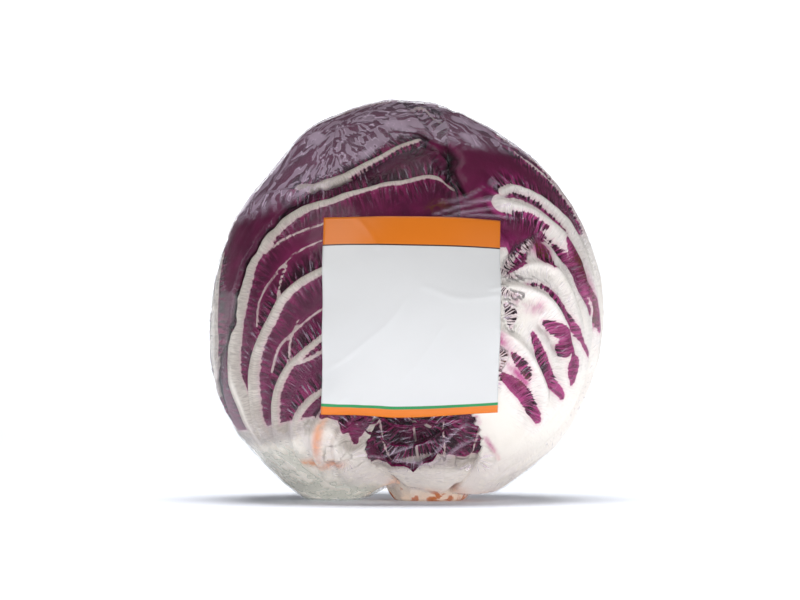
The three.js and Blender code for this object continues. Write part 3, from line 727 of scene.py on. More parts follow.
def margin_waves(leaf, directions, depth):
    """Height of the waves in which a leaf's margin stands up."""
    wave = 0.5 + 0.5 * ripple(directions * REACH, 5.0, 3.3)
    return leaf.wave * wave * (1 - smooth(0, 3.5, depth))


def melted(directions, depth):
    """How far the margin of a fleshy leaf base sinks towards the base below it."""
    low = smooth(-38, -54, elevation_of(directions))
    return 0.9 * leaf_step(directions) * (1 - smooth(0, 5, depth)) * low


def blisters(directions):
    points = directions * REACH
    return 0.22 * ripple(points, 6.5, 11.1) + 0.12 * ripple(points, 2.6, 5.7)


# ---------------------------------------------------------------------------------------------------------
# Meshes
# ---------------------------------------------------------------------------------------------------------

def new_piece(name, points, faces, finish, fields=None):
    """A smooth-shaded mesh object from points in millimetres, with one value of each field a point."""
    mesh = bpy.data.meshes.new(name)
    mesh.from_pydata((np.asarray(points).reshape(-1, 3) * MM).tolist(), [], faces)
    mesh.shade_smooth()
    for field, values in (fields or {}).items():
        layer = mesh.attributes.new(field, "FLOAT", "POINT")
        layer.data.foreach_set("value", np.asarray(values, np.float32).ravel())
    mesh.materials.append(finish)
    mesh.validate()
    piece = bpy.data.objects.new(name, mesh)
    bpy.context.scene.collection.objects.link(piece)
    return piece


def shell_faces(columns, rows):
    """Faces of a closed shell: a fine outer grid, an inner one UNDER times as coarse, and a rim."""
    top = np.arange(columns * rows).reshape(columns, rows)
    coarse_columns = (columns - 1) // UNDER + 1
    coarse_rows = (rows - 1) // UNDER + 1
    under = columns * rows + np.arange(coarse_columns * coarse_rows).reshape(coarse_columns, coarse_rows)

    def quads(grid):
        corners = [grid[:-1, :-1], grid[1:, :-1], grid[1:, 1:], grid[:-1, 1:]]
        return np.stack(corners, -1).reshape(-1, 4)

    faces = quads(top).tolist() + quads(under)[:, ::-1].tolist()
    for edge, inner, forward in (
        (top[:, 0], under[:, 0], False),
        (top[:, -1], under[:, -1], True),
        (top[0], under[0], True),
        (top[-1], under[-1], False),
    ):
        for i in range(len(inner) - 1):
            face = [*edge[UNDER * i : UNDER * (i + 1) + 1], inner[i + 1], inner[i]]
            faces.append([int(v) for v in (face if forward else face[::-1])])
    return faces


def build_leaf(index, finish):
    leaves = head_leaves()
    leaf = leaves[index]
    columns, rows = leaf.grid.shape[:2]
    directions = leaf.grid.reshape(-1, 3)
    stack, covered = pressed(directions, leaves[:index])
    marks = leaf.marks(directions)
    depth = np.maximum(leaf.depth_inside(directions), 0)
    waves = margin_waves(leaf, directions, depth)
    level = leaf_radius(directions) - stack * leaf_step(directions)
    free = (1 - covered) ** 2
    level = level - melted(directions, depth)
    outer = place(directions, level + (marks["relief"] + waves + blisters(directions)) * free, LEAF_FLOOR)
    inner = place(directions, level - leaf_thickness(directions) + 0.6 * waves * free, LEAF_FLOOR + BLADE)
    coarse = inner.reshape(columns, rows, 3)[::UNDER, ::UNDER].reshape(-1, 3)
    fields = {name: marks[name] for name in ("pale", "along", "across", "pucker", "warm", "shade")}
    for name, values in fields.items():
        low = values.reshape(columns, rows)[::UNDER, ::UNDER].ravel()
        fields[name] = np.concatenate([values, low])
    piece = new_piece(leaf.name + "_fine", np.concatenate([outer, coarse]), shell_faces(columns, rows),
                      finish, fields)
    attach(piece, "root")
    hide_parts(leaf.name)


# ---------------------------------------------------------------------------------------------------------
# Heart and stem
# ---------------------------------------------------------------------------------------------------------

HEART_RINGS = 110
HEART_SIDES = 200
HEART_RECESS = 3.4
HEART_FOLD = 1.6
HEART_FOOT = 6.0
STEM_ANGLE = 12.6  # half angle of the cone that the stem fills, from the centre
STEM_TOP = 58.0
STEM_BEVEL = 5.0
STEM_ROUNDING = 0.26  # share of its width that the rounded rim takes
STEM_SIDES = 160


def ring_faces(rings, sides):
    """Faces of a body of rings whose first and last points close its ends."""
    first = 1 + np.arange(rings * sides).reshape(rings, sides)
    turned = np.roll(first, -1, axis=1)
    end = 1 + rings * sides
    walls = np.stack([first[:-1], first[1:], turned[1:], turned[:-1]], -1).reshape(-1, 4).tolist()
    caps = [[0, int(a), int(b)] for a, b in zip(first[0], turned[0])]
    caps += [[int(a), end, int(b)] for a, b in zip(first[-1], turned[-1])]
    return walls + caps


def build_heart(finish):
    """Tightly packed inner leaves, whose folded margins stand out as curved ridges."""
    elevations = np.linspace(90, -90, HEART_RINGS + 2)[1:-1]
    azimuths = np.arange(HEART_SIDES) * 360 / HEART_SIDES
    rings = at(azimuths[None].repeat(HEART_RINGS, 0), elevations[:, None].repeat(HEART_SIDES, 1))
    directions = np.concatenate([UP[None], rings.reshape(-1, 3), -UP[None]])
    stack, _ = pressed(directions, head_leaves())
    azimuth = azimuth_of(directions)
    elevation = elevation_of(directions)
    points = directions * REACH
    sway = 14 * ripple(points, 18, 2.2)
    broad = np.sin(np.radians(5 * azimuth + 3 * elevation + sway))
    narrow = np.sin(np.radians(9 * azimuth - 4 * elevation - sway))
    crisp = np.abs(ripple(points, 4.5, 4.1)) - 0.5
    distance = (
        leaf_radius(directions)
        - stack * leaf_step(directions)
        - HEART_RECESS
        - HEART_FOLD * (1.5 - broad - 0.5 * narrow)
        - HEART_FOOT * smooth(-50, -80, elevation)
        + 0.9 * crisp
    )
    fields = {
        "pale": -3 + 4 * smooth(0.86, 1, broad) + 3 * smooth(-55, -75, elevation),
        "along": azimuth,
        "across": elevation,
        "pucker": np.full(len(directions), 0.6),
        "warm": np.zeros(len(directions)),
        "shade": crack_shade(points),
    }
    piece = new_piece("heart_fine", place(directions, distance), ring_faces(HEART_RINGS, HEART_SIDES),
                      finish, fields)
    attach(piece, "root")
    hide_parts("heart")


def build_stem(finish):
    """A plug that narrows upwards, with a rounded ragged rim and a flat cut face."""
    azimuths = np.arange(STEM_SIDES) * 360 / STEM_SIDES
    turn = np.radians(azimuths)
    uneven = np.minimum(1 + 0.035 * np.sin(3 * turn) - 0.02 * np.cos(5 * turn), 1.02)
    rings = []
    cut = np.linspace(0.74, 0.06, 12)
    profile = [(1 + 0.32 * float(smooth(5, 11, rise)), rise) for rise in np.linspace(13, STEM_BEVEL, 14)]
    profile += [(1 - STEM_ROUNDING * (1 - math.sin(t)) ** 1.2, STEM_BEVEL * math.sin(t) ** 1.4)
                for t in np.linspace(math.pi / 2, 0.0, 16)[1:]]
    profile += [(share, 0.0) for share in cut]
    profile = [(1.0, None), *profile]
    for share, rise in profile:
        direction = at(azimuths, -90 + STEM_ANGLE * share * uneven)
        floor_distance = -CENTRE[2] / direction[:, 2]
        if rise is None:
            distance = np.full(STEM_SIDES, STEM_TOP)
        else:
            fibre = 0.16 * np.sin(17 * turn) + 0.12 * ripple(direction * REACH, 1.6, 9.4)
            distance = floor_distance - rise - np.where(rise > 0, fibre * min(1, rise), 0)
        rings.append(place(direction, distance))
    down = -UP[None]
    ends = [place(down, np.array([STEM_TOP])), place(down, np.array([-CENTRE[2] / down[0, 2]]))]
    points = np.concatenate([ends[0], *rings, ends[1]])
    piece = new_piece("stem_fine", points, ring_faces(len(profile), STEM_SIDES), finish)
    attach(piece, "root")
    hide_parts("stem")


# ---------------------------------------------------------------------------------------------------------
# Frilled margins of the inner leaves, in the hollow low on the front
# ---------------------------------------------------------------------------------------------------------

FRILL_CELL = 0.5
FRILL_ROWS = 13
FRILL_SUNK = 1.2
FRILLS_MIDDLE = (-5, 20)
FRILLS_SPREAD = 15.0  # degrees
FRILLS_HEIGHT = 4.0
# Path of each frill as seen from the front, its height, how far it leans over, and how pale its middle is.
FRILLS = [
    ([(-21, 17), (-15, 12.5), (-7, 10.5), (1, 12), (7, 16)], 4.4, 0.5, -1.4),
    ([(-25, 23), (-17, 18), (-7, 15), (3, 16), (10, 21)], 5.0, 0.7, -4),
    ([(-27, 25), (-19, 22), (-9, 18.5), (1, 19), (10, 24)], 5.0, 0.9, -1.6),
    ([(-16, 26), (-10, 23.5), (-3, 22), (6, 23), (14, 27)], 5.0, 0.8, -3),
    ([(3, 16), (9, 19), (13, 23), (16, 27)], 4.4, -0.9, -1.6),
    ([(-33, 26), (-28, 24.5), (-22, 25), (-17, 27)], 3.0, 0.8, -1.4),
    ([(-10, 25), (-6, 22.5), (-0.5, 18)], 5.8, 0.6, 1.6),
]


def build_frill(name, path, height, lean, pale, thickness, finish):
    """A ruffled ribbon of leaf that stands up along a path."""
    line = spline(front(*path)) * REACH
    length = np.linalg.norm(np.diff(line, axis=0), axis=1).sum()
    columns = UNDER * math.ceil(length / FRILL_CELL / UNDER) + 1
    line = evenly(line, columns)
    out = unit(line)
    tangent = unit(np.gradient(line, axis=0))
    side = unit(np.cross(out, tangent))
    side = side * np.sign(side @ UP)[:, None]
    root = outermost(out)[0] - FRILL_SUNK
    t = np.linspace(0, 1, columns)[:, None]
    v = np.linspace(0, 1, FRILL_ROWS)[None]
    tall = (height + FRILL_SUNK) * np.clip(np.sin(math.pi * t), 0, 1) ** 0.45
    shift = 10.0 * height + len(path)
    spots = np.concatenate([t * length, 0 * t, 0 * t], 1)
    sway = (ripple(spots, 3.2, shift)[:, None] + 0.5 * ripple(spots, 1.5, shift + 3)[:, None]) * v**1.2
    uneven = 1 + 0.3 * ripple(spots, 4.0, shift + 7)[:, None]
    rise = tall * uneven * v
    points = (
        (CENTRE + out * root[:, None])[:, None]
        + out[:, None] * (rise * math.cos(lean) + 0.7 * sway)[..., None]
        + side[:, None] * (rise * math.sin(lean) * v + 1.7 * sway)[..., None]
        + tangent[:, None] * (0.9 * np.roll(sway, 5, axis=0))[..., None]
    )
    normal = unit(np.cross(np.gradient(points, axis=0), np.gradient(points, axis=1)))
    outer = (points + normal * thickness / 2).reshape(-1, 3)
    inner = (points - normal * thickness / 2)[::UNDER, ::UNDER].reshape(-1, 3)
    paleness = pale - 5 * np.abs(v - 0.55) * (pale > 0) + 0 * t
    fields = {"pale": paleness, "along": t * length + 0 * v, "across": rise, "pucker": 0.5 + 0 * rise,
              "warm": 0 * rise, "shade": 0 * rise}
    fields = {key: np.concatenate([values.ravel(), values[::UNDER, ::UNDER].ravel()])
              for key, values in fields.items()}
    piece = new_piece(name, np.concatenate([outer, inner]), shell_faces(columns, FRILL_ROWS), finish, fields)
    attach(piece, "root")


# ---------------------------------------------------------------------------------------------------------
# Film and label
# ---------------------------------------------------------------------------------------------------------

FILM_COLUMNS = 384
FILM_ROWS = 248
FILM_CROWN = 89.4  # elevation of the film's first ring, round the point that closes it
FILM_MOUTH = -84.0  # elevation of its last ring, under the stem
FRONT_SHARE = 0.45  # how much closer together the film's columns are in front
TAUT_PASSES = 90
# Corners of the label as seen from the front, x and z, and how far its upper and lower edges bow out.
LABEL_CORNERS = {"low_left": (-37.3, 30.0), "low_right": (24.2, 29.3), "top_left": (-36.9, 97.9),
                 "top_right": (25.0, 97.0)}
LABEL_BOW = 1.3
LABEL_CREASES = [
    [(-27, 99), (-22, 94), (-17, 87)],
    [(-38, 44), (-26, 52), (-14, 62), (-8, 70)],
    [(-30, 31), (-18, 36), (-6, 46), (4, 60)],
    [(-2, 74), (10, 70), (24, 71)],
]
LABEL_COLUMNS = 91
LABEL_ROWS = 103
LABEL_HEIGHT = 4.6  # of the label above the skin of the head
LABEL_LIFT = 0.6
LABEL_TAUT_PASSES = 260
LABEL_SMOOTH_PASSES = 60


def outermost(directions):
    """Distance to the outermost leaf in each direction, with the marks of that leaf."""
    level = leaf_radius(directions)
    step = leaf_step(directions)
    top = level - 3
    fields = {name: np.zeros(len(directions)) for name in ("pale", "along", "across", "pucker", "shade")}
    free = np.ones(len(directions), bool)
    stack = np.zeros(len(directions))
    covered = np.zeros(len(directions))
    for leaf in head_leaves():
        depth = leaf.depth_inside(directions)
        own = free & (depth > 0)
        marks = leaf.marks(directions[own])
        waves = margin_waves(leaf, directions[own], depth[own])
        relief = marks["relief"] + waves + blisters(directions[own])
        base = (level - stack * step)[own] - melted(directions[own], depth[own])
        top[own] = base + relief * (1 - covered[own]) ** 2
        for name, values in fields.items():
            values[own] = marks[name]
        cover = smooth(-TUCK, -TUCKED, depth)
        stack += cover
        covered = np.maximum(covered, cover)
        free &= ~own
    top[free] -= (stack * step)[free]
    under = elevation_of(directions) < STEM_ANGLE - 90
    share = (elevation_of(directions[under]) + 90) / STEM_ANGLE
    rise = STEM_BEVEL * np.clip(1 - ((1 - share) / STEM_ROUNDING) ** (1 / 1.2), 0, 1) ** 1.4
    top[under] = CENTRE[2] / -directions[under, 2] - rise
    return top, fields


def stretched(lying, passes, wrapped):
    """A taut skin over distances on a grid: it bridges hollows and lies on what stands out."""
    taut = lying.copy()
    for _ in range(passes):
        if wrapped:
            sides = np.roll(taut, 1, 0) + np.roll(taut, -1, 0)
        else:
            padded = np.pad(taut, ((1, 1), (0, 0)), mode="reflect")
            sides = padded[:-2] + padded[2:]
        padded = np.pad(taut, ((0, 0), (1, 1)), mode="reflect")
        taut = np.maximum(lying, (sides + padded[:, :-2] + padded[:, 2:]) / 4)
    return taut


def smoothed(heights, passes):
    """Heights on a grid, evened out."""
    for _ in range(passes):
        padded = np.pad(heights, 1, mode="reflect", reflect_type="odd")
        heights = (padded[:-2, 1:-1] + padded[2:, 1:-1] + padded[1:-1, :-2] + padded[1:-1, 2:]) / 4
    return heights


def creases(points, size, shift=0.0):
    """A net of thin ridges, from 0 between them to 1 along them."""
    sway = np.stack([ripple(points, size * 0.9, shift + k) for k in (1.3, 4.7, 8.9)], -1)
    return (1 - np.abs(ripple(points + 0.35 * size * sway, size, shift))) ** 6


@functools.cache
def film_columns():
    """Azimuths of the film's columns, closer together in front."""
    turn = np.linspace(-math.pi, math.pi, FILM_COLUMNS, endpoint=False)
    return np.degrees(turn - FRONT_SHARE * np.sin(turn))


# Azimuths, and the elevations over which the film is crumpled there.
CRUMPLED_FROM = ((-120, -90, -50, -25, -3, 10, 60, 120), (24, 28, 35, 41, 53, 56, 46, 30))


def crumpled(directions):
    """How crumpled the film is: most over the crown and low down, least where it is taut in front."""
    rise = elevation_of(directions)
    turn = azimuth_of(directions)
    lowest = np.interp(turn, *CRUMPLED_FROM)
    crown = smooth(lowest - 2, lowest + 5, rise)
    left = smooth(-76, -88, turn) * (1 - 0.92 * smooth(-92, -140, turn))
    right = 0.08 * smooth(62, 84, turn)
    return np.clip(np.maximum.reduce([crown, left, right]), 0, 1) * (1 - netted(directions))


def netted(directions):
    """How far the film shrinks to a net of small cells: low down and on the left."""
    rise = elevation_of(directions)
    turn = azimuth_of(directions)
    low_left = smooth(-24, -40, rise) * smooth(-30, -56, turn) * smooth(-130, -110, turn)
    low = 0.45 * smooth(-50, -62, rise) * (1 - 0.7 * np.exp(-(((turn - 10) / 40) ** 2)))
    edge = 0.8 * smooth(-72, -79, turn) * smooth(-112, -98, turn) * (1 - smooth(16, 40, rise))
    return np.maximum.reduce([low_left, low, edge])


@functools.cache
def film_sheet(gap):
    """The film's grid of directions, its distances, and the fields that its finish reads.

    The gap is how far the film is over what it lies on.
    """
    elevation = np.linspace(FILM_CROWN, FILM_MOUTH, FILM_ROWS)
    directions = at(*np.meshgrid(film_columns(), elevation, indexing="ij"))
    flat = directions.reshape(-1, 3)
    lying, fields = outermost(flat)
    lying = lying.reshape(FILM_COLUMNS, FILM_ROWS)
    away = angle_between(directions, seen(*FRILLS_MIDDLE)) / FRILLS_SPREAD
    padded = lying + FRILLS_HEIGHT * np.exp(-(away**4))
    taut = stretched(padded, TAUT_PASSES, True)
    taut = padded + (taut - padded) * (1 - smooth(-68, -80, elevation))
    lift = taut - lying
    points = flat * REACH
    crumple = crumpled(flat)
    net = 0.6 * creases(points, 7.0, 3.1) + 0.4 * creases(points, 3.6, 6.3)
    folds = (net * (0.06 + 0.3 * crumple)).reshape(lying.shape)
    fold = film_folds(points)
    distance = taut + gap + folds + fold.reshape(lying.shape)
    fields["fold"] = fold
    fields["lift"] = lift.ravel()
    fields["crumple"] = crumple
    fields["net"] = netted(flat) * smooth(-1.0, 0.5, fields["pale"])
    return directions, distance, fields


def film_folds(points):
    """Height of the single sharp folds in the film, where it is pulled over the label's upper edge."""
    folds = [
        (((1, 98.5), (9, 101), (21, 103.5)), 0.7),
        (((4, 97.5), (13, 99.5), (27, 101.5)), 0.8),
        (((8, 98), (17, 98.5), (30, 97)), 0.7),
        (((3, 103), (11, 104), (19, 108)), 0.6),
        (((12, 103), (19, 104), (28, 104)), 0.5),
        (((-24, 10), (-12, 14), (2, 13), (12, 18)), 0.5),
        (((-22, 14), (-10, 16.5), (6, 19)), 0.5),
        (((-16, 9), (-4, 12), (8, 12.5)), 0.5),
        (((0, 13), (8, 20), (14, 24)), 0.6),
        (((4, 12), (11, 17), (18, 20)), 0.5),
    ]
    height = np.zeros(len(points))
    for path, rise in folds:
        fold = Stroke(front(*path), (0.3, 0.55, 0.2))
        gap, share, _ = fold.measure(points)
        height = np.maximum(height, rise * np.exp(-((gap / fold.half_width(share)) ** 2)))
    return height


def film_distance(directions, gap):
    """Distance from the centre to the film in other directions."""
    _, distance, _ = film_sheet(gap)
    column = np.interp(azimuth_of(directions), film_columns(), np.arange(FILM_COLUMNS))
    row = (elevation_of(directions) - FILM_CROWN) / (FILM_MOUTH - FILM_CROWN) * (FILM_ROWS - 1)
    left = np.clip(np.floor(column).astype(int), 0, FILM_COLUMNS - 2)
    upper = np.clip(np.floor(row).astype(int), 0, FILM_ROWS - 2)
    fx = column - left
    fy = row - upper
    return (
        (distance[left, upper] * (1 - fx) + distance[left + 1, upper] * fx) * (1 - fy)
        + (distance[left, upper + 1] * (1 - fx) + distance[left + 1, upper + 1] * fx) * fy
    )


def build_film(gap, finish):
    directions, distance, fields = film_sheet(gap)
    points = place(directions, distance, FILM_FLOOR).reshape(-1, 3)
    crown = place(UP[None], distance[:, :1].mean(0))
    grid = 1 + np.arange(FILM_COLUMNS * FILM_ROWS).reshape(FILM_COLUMNS, FILM_ROWS)
    turned = np.roll(grid, -1, axis=0)
    walls = np.stack([grid[:, :-1], grid[:, 1:], turned[:, 1:], turned[:, :-1]], -1).reshape(-1, 4).tolist()
    cap = [[0, int(a), int(b)] for a, b in zip(grid[:, 0], turned[:, 0])]
    whole = {name: np.concatenate([values[:1], values]) for name, values in fields.items()}
    piece = new_piece("film_wrap_fine", np.concatenate([crown, points]), walls + cap, finish, whole)
    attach(piece, "root")
    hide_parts("film_wrap")


def build_label(gap, thickness, crease, finish):
    """A plain sheet drawn flat over the film, with a few soft creases."""
    low_left, low_right, top_left, top_right = (np.array(corner) for corner in LABEL_CORNERS.values())
    u = np.linspace(0, 1, LABEL_COLUMNS)[:, None, None]
    level = np.linspace(0, 1, LABEL_ROWS)[None, :, None]
    spots = (low_left * (1 - u) + low_right * u) * (1 - level) + (top_left * (1 - u) + top_right * u) * level
    x, z = np.moveaxis(spots, -1, 0)
    level = level[..., 0].repeat(LABEL_COLUMNS, 0)
    z = z + LABEL_BOW * (2 * level - 1) * (1 - (2 * u[..., 0] - 1) ** 2)
    directions = seen(x, z, LABEL_HEIGHT)
    lying = film_distance(directions.reshape(-1, 3), gap).reshape(x.shape) + LABEL_LIFT
    taut = smoothed(stretched(lying, LABEL_TAUT_PASSES, False), LABEL_SMOOTH_PASSES)
    taut = np.maximum(taut, lying - 0.3)
    for path in LABEL_CREASES:
        away, _, _ = Stroke(front(*path), (1, 1)).measure(directions.reshape(-1, 3) * REACH)
        taut = taut + crease * np.exp(-((away / 1.1) ** 2)).reshape(taut.shape)
    outer = place(directions, taut + thickness).reshape(-1, 3)
    inner = place(directions, taut)[::UNDER, ::UNDER].reshape(-1, 3)
    fields = {"level": np.concatenate([level.ravel(), level[::UNDER, ::UNDER].ravel()])}
    piece = new_piece("front_label_fine", np.concatenate([outer, inner]),
                      shell_faces(LABEL_COLUMNS, LABEL_ROWS), finish, fields)
    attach(piece, "root")
    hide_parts("front_label")


# ---------------------------------------------------------------------------------------------------------
# Materials
# ---------------------------------------------------------------------------------------------------------

def linear(code):
    """A colour as light amounts, from its six-digit code."""
    parts = [((code >> shift) & 255) / 255 for shift in (16, 8, 0)]
    return tuple(c / 12.92 if c <= 0.04045 else ((c + 0.055) / 1.055) ** 2.4 for c in parts)


class Value:
    """An output socket on which sums are written as ordinary arithmetic."""

    def __init__(self, socket):
        self.socket = socket

    def sum(self, operation, first, second):
        return make(self.socket.id_data, "ShaderNodeMath", {"operation": operation}, {0: first, 1: second})

    def __add__(self, other):
        return self.sum("ADD", self, other)

    def __sub__(self, other):
        return self.sum("SUBTRACT", self, other)

    def __rsub__(self, other):
        return self.sum("SUBTRACT", other, self)

    def __mul__(self, other):
        return self.sum("MULTIPLY", self, other)

    def __abs__(self):
        return self.sum("ABSOLUTE", self, 0)

    def largest(self, other):
        return self.sum("MAXIMUM", self, other)

    def smallest(self, other):
        return self.sum("MINIMUM", self, other)

    __radd__ = __add__
    __rmul__ = __mul__


def make(tree, kind, settings=None, inputs=None, output=0):
    """A node from its type, its settings, and the values or links of its sockets."""
    node = tree.nodes.new(kind)
    for name, setting in (settings or {}).items():
        setattr(node, name, setting)
    for name, value in (inputs or {}).items():
        if isinstance(value, Value):
            tree.links.new(value.socket, node.inputs[name])
        else:
            node.inputs[name].default_value = value
    return Value(node.outputs[output])


class Finish:
    """A material, and the nodes that its description needs."""

    def __init__(self, name):
        self.material = bpy.data.materials.new(name)
        self.material.use_nodes = True
        self.tree = self.material.node_tree
        self.tree.nodes.clear()

    def node(self, kind, settings=None, inputs=None, output=0):
        return make(self.tree, kind, settings, inputs, output)

    def field(self, name):
        return self.node("ShaderNodeAttribute", {"attribute_name": name}, output="Fac")

    def spot(self):
        """Place on the object, in millimetres."""
        place_on = self.node("ShaderNodeTexCoord", output="Object")
        return self.node("ShaderNodeVectorMath", {"operation": "SCALE"}, {0: place_on, "Scale": 1 / MM})

    def vector(self, x, y, z):
        return self.node("ShaderNodeCombineXYZ", None, {0: x, 1: y, 2: z})

    def noise(self, vector, scale, detail=2.0, distortion=0.0):
        return self.node("ShaderNodeTexNoise", {"noise_dimensions": "3D"},
                         {"Vector": vector, "Scale": scale, "Detail": detail, "Distortion": distortion})

    def smooth(self, start, end, value):
        return self.node("ShaderNodeMapRange", {"interpolation_type": "SMOOTHSTEP"},
                         {"Value": value, "From Min": start, "From Max": end})

    def mix(self, factor, first, second):
        """A colour between two, each a socket or three light amounts."""
        first, second = (c if isinstance(c, Value) else (*c, 1.0) for c in (first, second))
        return self.node("ShaderNodeMix", {"data_type": "RGBA"}, {0: factor, 6: first, 7: second}, output=2)

    def bump(self, height):
        """A normal from a height in millimetres."""
        return self.node("ShaderNodeBump", None, {"Height": height, "Distance": MM, "Strength": 1.0})

    def show(self, shader):
        output = self.tree.nodes.new("ShaderNodeOutputMaterial")
        self.tree.links.new(shader.socket, output.inputs["Surface"])
        return self.material


def leaf_finish(settings, name="leaf"):
    """The finish of the dark leaves, or of the bright one on the right."""
    finish = Finish(name)
    bright = name == "bright_leaf"
    blade_tint = settings.right_blade if bright else settings.blade
    dark_tint = settings.blade if bright else settings.blade_dark
    bright_tint = settings.right_bright if bright else settings.blade_bright
    rib_tint = settings.right_rib if bright else settings.rib
    spot = finish.spot()
    along = finish.field("along")
    across = finish.field("across")
    pucker = finish.field("pucker")
    pale = finish.field("pale")
    comb = finish.noise(finish.vector(along * 1.05, across * 0.16, 3.0), 1.0, 1.0)
    folds = finish.noise(finish.vector(along * 0.62, across * 0.05, 7.0), 1.0, 1.0)
    lines = finish.noise(finish.vector(along * 2.6, across * 0.35, 5.0), 1.0, 1.0)
    grain = finish.noise(spot, 0.9, 3.0)
    patches = finish.noise(spot, 0.11, 3.0)
    teeth = 1.7 if bright else 0.9
    edge = pale - (comb - 0.5) * (pucker * teeth + 0.4) + (grain - 0.5) * 0.35
    cream = finish.smooth(-0.16, 0.2, edge)
    near = finish.smooth(-2.6, -0.1, edge)
    thin = finish.smooth(0.34, 0.66, patches)
    if bright:
        thin = thin * finish.smooth(-8.5, -3.5, pale)
    blade = finish.mix(thin, dark_tint, blade_tint)
    blade = finish.mix(near * (0.6 if bright else 0.3), blade, bright_tint)
    light = 1 - finish.smooth(0.4, 0.46, comb)
    blade = finish.mix(light * pucker * 0.5, blade, bright_tint)
    # Painted shade: near-black lines in the puckers beside the ribs, standing in for the shadows in their
    # wrinkles.
    dark = finish.smooth(0.5, 0.54, comb).largest(finish.smooth(0.54, 0.58, folds) * 0.8)
    blade = finish.mix(dark * (pucker * 0.85 + 0.12), blade, settings.blade_shadow)
    flesh = finish.mix(finish.smooth(2.4, 5.5, pale), rib_tint, settings.petiole)
    flesh = finish.mix(finish.smooth(0.35, 0.75, patches) * 0.4, flesh, settings.petiole)
    ribbed = 1 - finish.smooth(2.6, 4.5, pale)
    line_depth = 0.16 if bright else 0.5
    # Painted shade: grey lines across the ribs, for the shade in their fine creases; the bump further down
    # gives them a little real relief too.
    flesh = finish.mix(finish.smooth(0.42, 0.62, lines) * ribbed * line_depth, flesh, settings.rib_shadow)
    blush = (1 - finish.smooth(0.1, 1.4 if bright else 0.7, edge)) * 0.3
    flesh = finish.mix(blush, flesh, settings.blush)
    warm = finish.field("warm")
    flush = settings.peach
    if bright:
        rise = finish.node("ShaderNodeSeparateXYZ", None, {0: spot}, output=2)
        flush = finish.mix(finish.smooth(10, 20, rise), settings.peach, settings.right_bright)
    flesh = finish.mix(warm * finish.smooth(0.3, 0.6, patches), flesh, flush)
    blade = finish.mix(warm * finish.smooth(0.35, 0.6, grain), blade, settings.dry)
    colour = finish.mix(cream, blade, flesh)
    # Painted shade: the deep crack is coloured near black in place of its shadow.
    colour = finish.mix(finish.field("shade"), colour, settings.crack)
    height = (comb - 0.5) * pucker * 0.9 + (grain - 0.5) * 0.12
    height = height + (lines - 0.5) * ribbed * cream * (line_depth * 0.35)
    return finish.show(finish.node(
        "ShaderNodeBsdfPrincipled", None,
        {"Base Color": colour, "Roughness": 0.55, "Normal": finish.bump(height), "IOR": 1.22},
    ))


def stem_finish(settings):
    finish = Finish("stem")
    spot = finish.spot()
    blotch = finish.noise(spot, 0.22, 3.0, 0.8)
    grain = finish.noise(spot, 1.1, 3.0)
    height = finish.node("ShaderNodeSeparateXYZ", None, {0: spot}, output=2)
    low = 1 - finish.smooth(0.5, 6.0, height)
    colour = finish.mix(low, settings.petiole, settings.stem)
    browned = finish.smooth(0.54, 0.66, blotch + low * 0.16 - 0.1 + (grain - 0.5) * 0.12)
    colour = finish.mix(browned, colour, settings.stem_dark)
    colour = finish.mix((1 - finish.smooth(0.1, 0.9, height)) * 0.3, colour, settings.dry)
    return finish.show(finish.node(
        "ShaderNodeBsdfPrincipled", None,
        {"Base Color": colour, "Roughness": 0.7, "Normal": finish.bump((grain - 0.5) * 0.5)},
    ))


